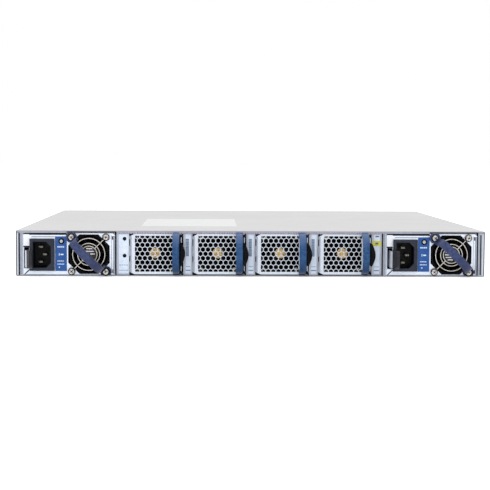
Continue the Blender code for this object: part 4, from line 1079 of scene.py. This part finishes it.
def posts():
    """Labels, earthing points and printed marks on the posts between the bays."""
    frame_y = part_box("rear_frame")[0].y
    spans = post_spans()
    for post, ((x0, _), label) in enumerate(zip(spans, LABELS)):
        left, right = x0 + label[0] * MM, x0 + label[1] * MM
        bm = bmesh.new()
        low = (left, frame_y - LABEL_T * MM, 2.6 * MM)
        add_block(bm, low, (right, frame_y + 0.02 * MM, 39.6 * MM))
        finish_piece(f"post_label_{post + 1}", bm, "paper", "chassis")
        bm = bmesh.new()
        post_marks(bm, post, x0, left, right)
        finish_piece(f"post_marks_{post + 1}", bm, "ink", "chassis")
    last = spans[-1][0]
    bm = bmesh.new()
    corners = [(0.5, 28.9), (9.1, 28.9), (8.6, 33.9), (1.0, 33.9)]
    corners = [(last + x, z) for x, z in in_metres(corners)]
    add_prism(bm, corners, outward(0, frame_y - 0.12 * MM, 0), 0.2 * MM, 0.05 * MM)
    finish_piece("yellow_label", bm, "yellow", "chassis")
    bm = bmesh.new()
    block_at(bm, (last, frame_y, 0), (3.4, -0.36, 30.5), (6.2, -0.3, 32.2))
    block_at(bm, (last, frame_y, 0), (3.4, -0.36, 37.4), (6.8, -0.3, 38.6))
    finish_piece("yellow_label_marks", bm, "ink", "chassis")
    bm = bmesh.new()
    for z in (19.4 * MM, 35.2 * MM):
        centre = Vector((spans[0][0] + 7.6 * MM, frame_y - LABEL_T * MM, z))
        add_collar(bm, centre, [(1.15, 0.0), (1.75, 0.0), (1.75, 0.2), (1.15, 0.2)], 28)
        add_boss(bm, centre, [(0, -0.8), (1.3, -0.8), (1.3, 0.06), (0, 0.06)], 24)
    finish_piece("earthing_points", bm, "shadow", "chassis")


def gasket():
    """Row of small spring fingers over the cover's lip, above the fan bays."""
    spans = post_spans()
    x0, x1 = spans[0][0] + 0.6 * MM, spans[-1][1] - 0.6 * MM
    pitch = 2.4 * MM
    bm = bmesh.new()
    for i in range(int((x1 - x0) / pitch)):
        x = x0 + (i + 0.1) * pitch
        low = (x, FACE_Y - 0.18 * MM, 40.0 * MM)
        add_block(bm, low, (x + pitch * 0.8, FACE_Y + 0.9 * MM, 42.1 * MM), 0.25 * MM, 2)
    finish_piece("cover_gasket", bm, "gasket", "chassis")


def cover_details():
    """Blank label on the cover."""
    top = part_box("top_cover")[1].z
    bm = bmesh.new()
    block_at(bm, (0, FACE_Y, top), (-107, 69, -0.02), (-12, 205, 0.12), 0.05)
    finish_piece("cover_label", bm, "sticker", "chassis")


def stage():
    bm = bmesh.new()
    bmesh.ops.create_grid(bm, x_segments=8, y_segments=8, size=9.0)
    bmesh.ops.translate(bm, vec=(0, 0, cad_low.z - 0.0002), verts=bm.verts)
    mesh = bpy.data.meshes.new("floor")
    bm.to_mesh(mesh)
    bm.free()
    floor = bpy.data.objects.new("floor", mesh)
    bpy.context.scene.collection.objects.link(floor)
    pale = Finish("pale_floor", srgb(252, 252, 252), 0.9, 0.0, 0.1)
    pale.mottle(srgb(250, 250, 250), 2)
    pale.shader.inputs["Emission Color"].default_value = (1, 1, 1, 1)
    pale.shader.inputs["Emission Strength"].default_value = 0.55
    mesh.materials.append(pale.material)

    world = bpy.data.worlds.new("studio")
    world.use_nodes = True
    world.node_tree.nodes["Background"].inputs["Color"].default_value = (1, 1, 1, 1)
    world.node_tree.nodes["Background"].inputs["Strength"].default_value = 1.0
    bpy.context.scene.world = world
    area_light("key", (-0.5, FACE_Y - 1.6, 1.3), (0, FACE_Y, 0.02), 1.6, 8)
    area_light("top", (0.5, FACE_Y + 0.5, 2.2), (0, FACE_Y + 0.3, 0), 2.0, 9)


# degrees of yaw, pitch and roll, then millimetres of lens, then metres
CAMERA_TURNS, CAMERA_LENS = (1.68, -4.2, 0.27), 94.64
CAMERA_LEFT, CAMERA_AWAY, CAMERA_UP = 0.0415, 1.2052, 0.1183


def area_light(name, position, target, size, power):
    light = bpy.data.lights.new(name, "AREA")
    light.energy = power
    light.size = size
    lamp = bpy.data.objects.new(name, light)
    lamp.location = position
    lamp.rotation_euler = (Vector(target) - Vector(position)).to_track_quat("-Z", "Y").to_euler()
    bpy.context.scene.collection.objects.link(lamp)


def camera():
    """Low in front of the module side, a little left of the middle."""
    yaw, pitch, roll = (math.radians(turn) for turn in CAMERA_TURNS)
    forward = Vector(
        (math.sin(yaw) * math.cos(pitch), math.cos(yaw) * math.cos(pitch), math.sin(pitch))
    )
    right = forward.cross(Z).normalized()
    up = right.cross(forward)
    tilted_right = right * math.cos(roll) + up * math.sin(roll)
    tilted_up = up * math.cos(roll) - right * math.sin(roll)
    data = bpy.data.cameras.new("camera")
    data.sensor_width = 36
    data.lens = CAMERA_LENS
    data.clip_start = 0.01
    data.clip_end = 50
    made = bpy.data.objects.new("camera", data)
    turn = Matrix((tilted_right, tilted_up, -forward)).transposed().to_4x4()
    position = (-CAMERA_LEFT, FACE_Y - CAMERA_AWAY, cad_low.z + CAMERA_UP)
    made.matrix_world = Matrix.Translation(position) @ turn
    bpy.context.scene.collection.objects.link(made)
    bpy.context.scene.camera = made


def main():
    paint_nodes()
    fan_modules()
    power_supplies()
    posts()
    gasket()
    bay_gap_shades()
    cover_details()
    stage()
    camera()
    bpy.context.scene.view_settings.view_transform = "Standard"


main()
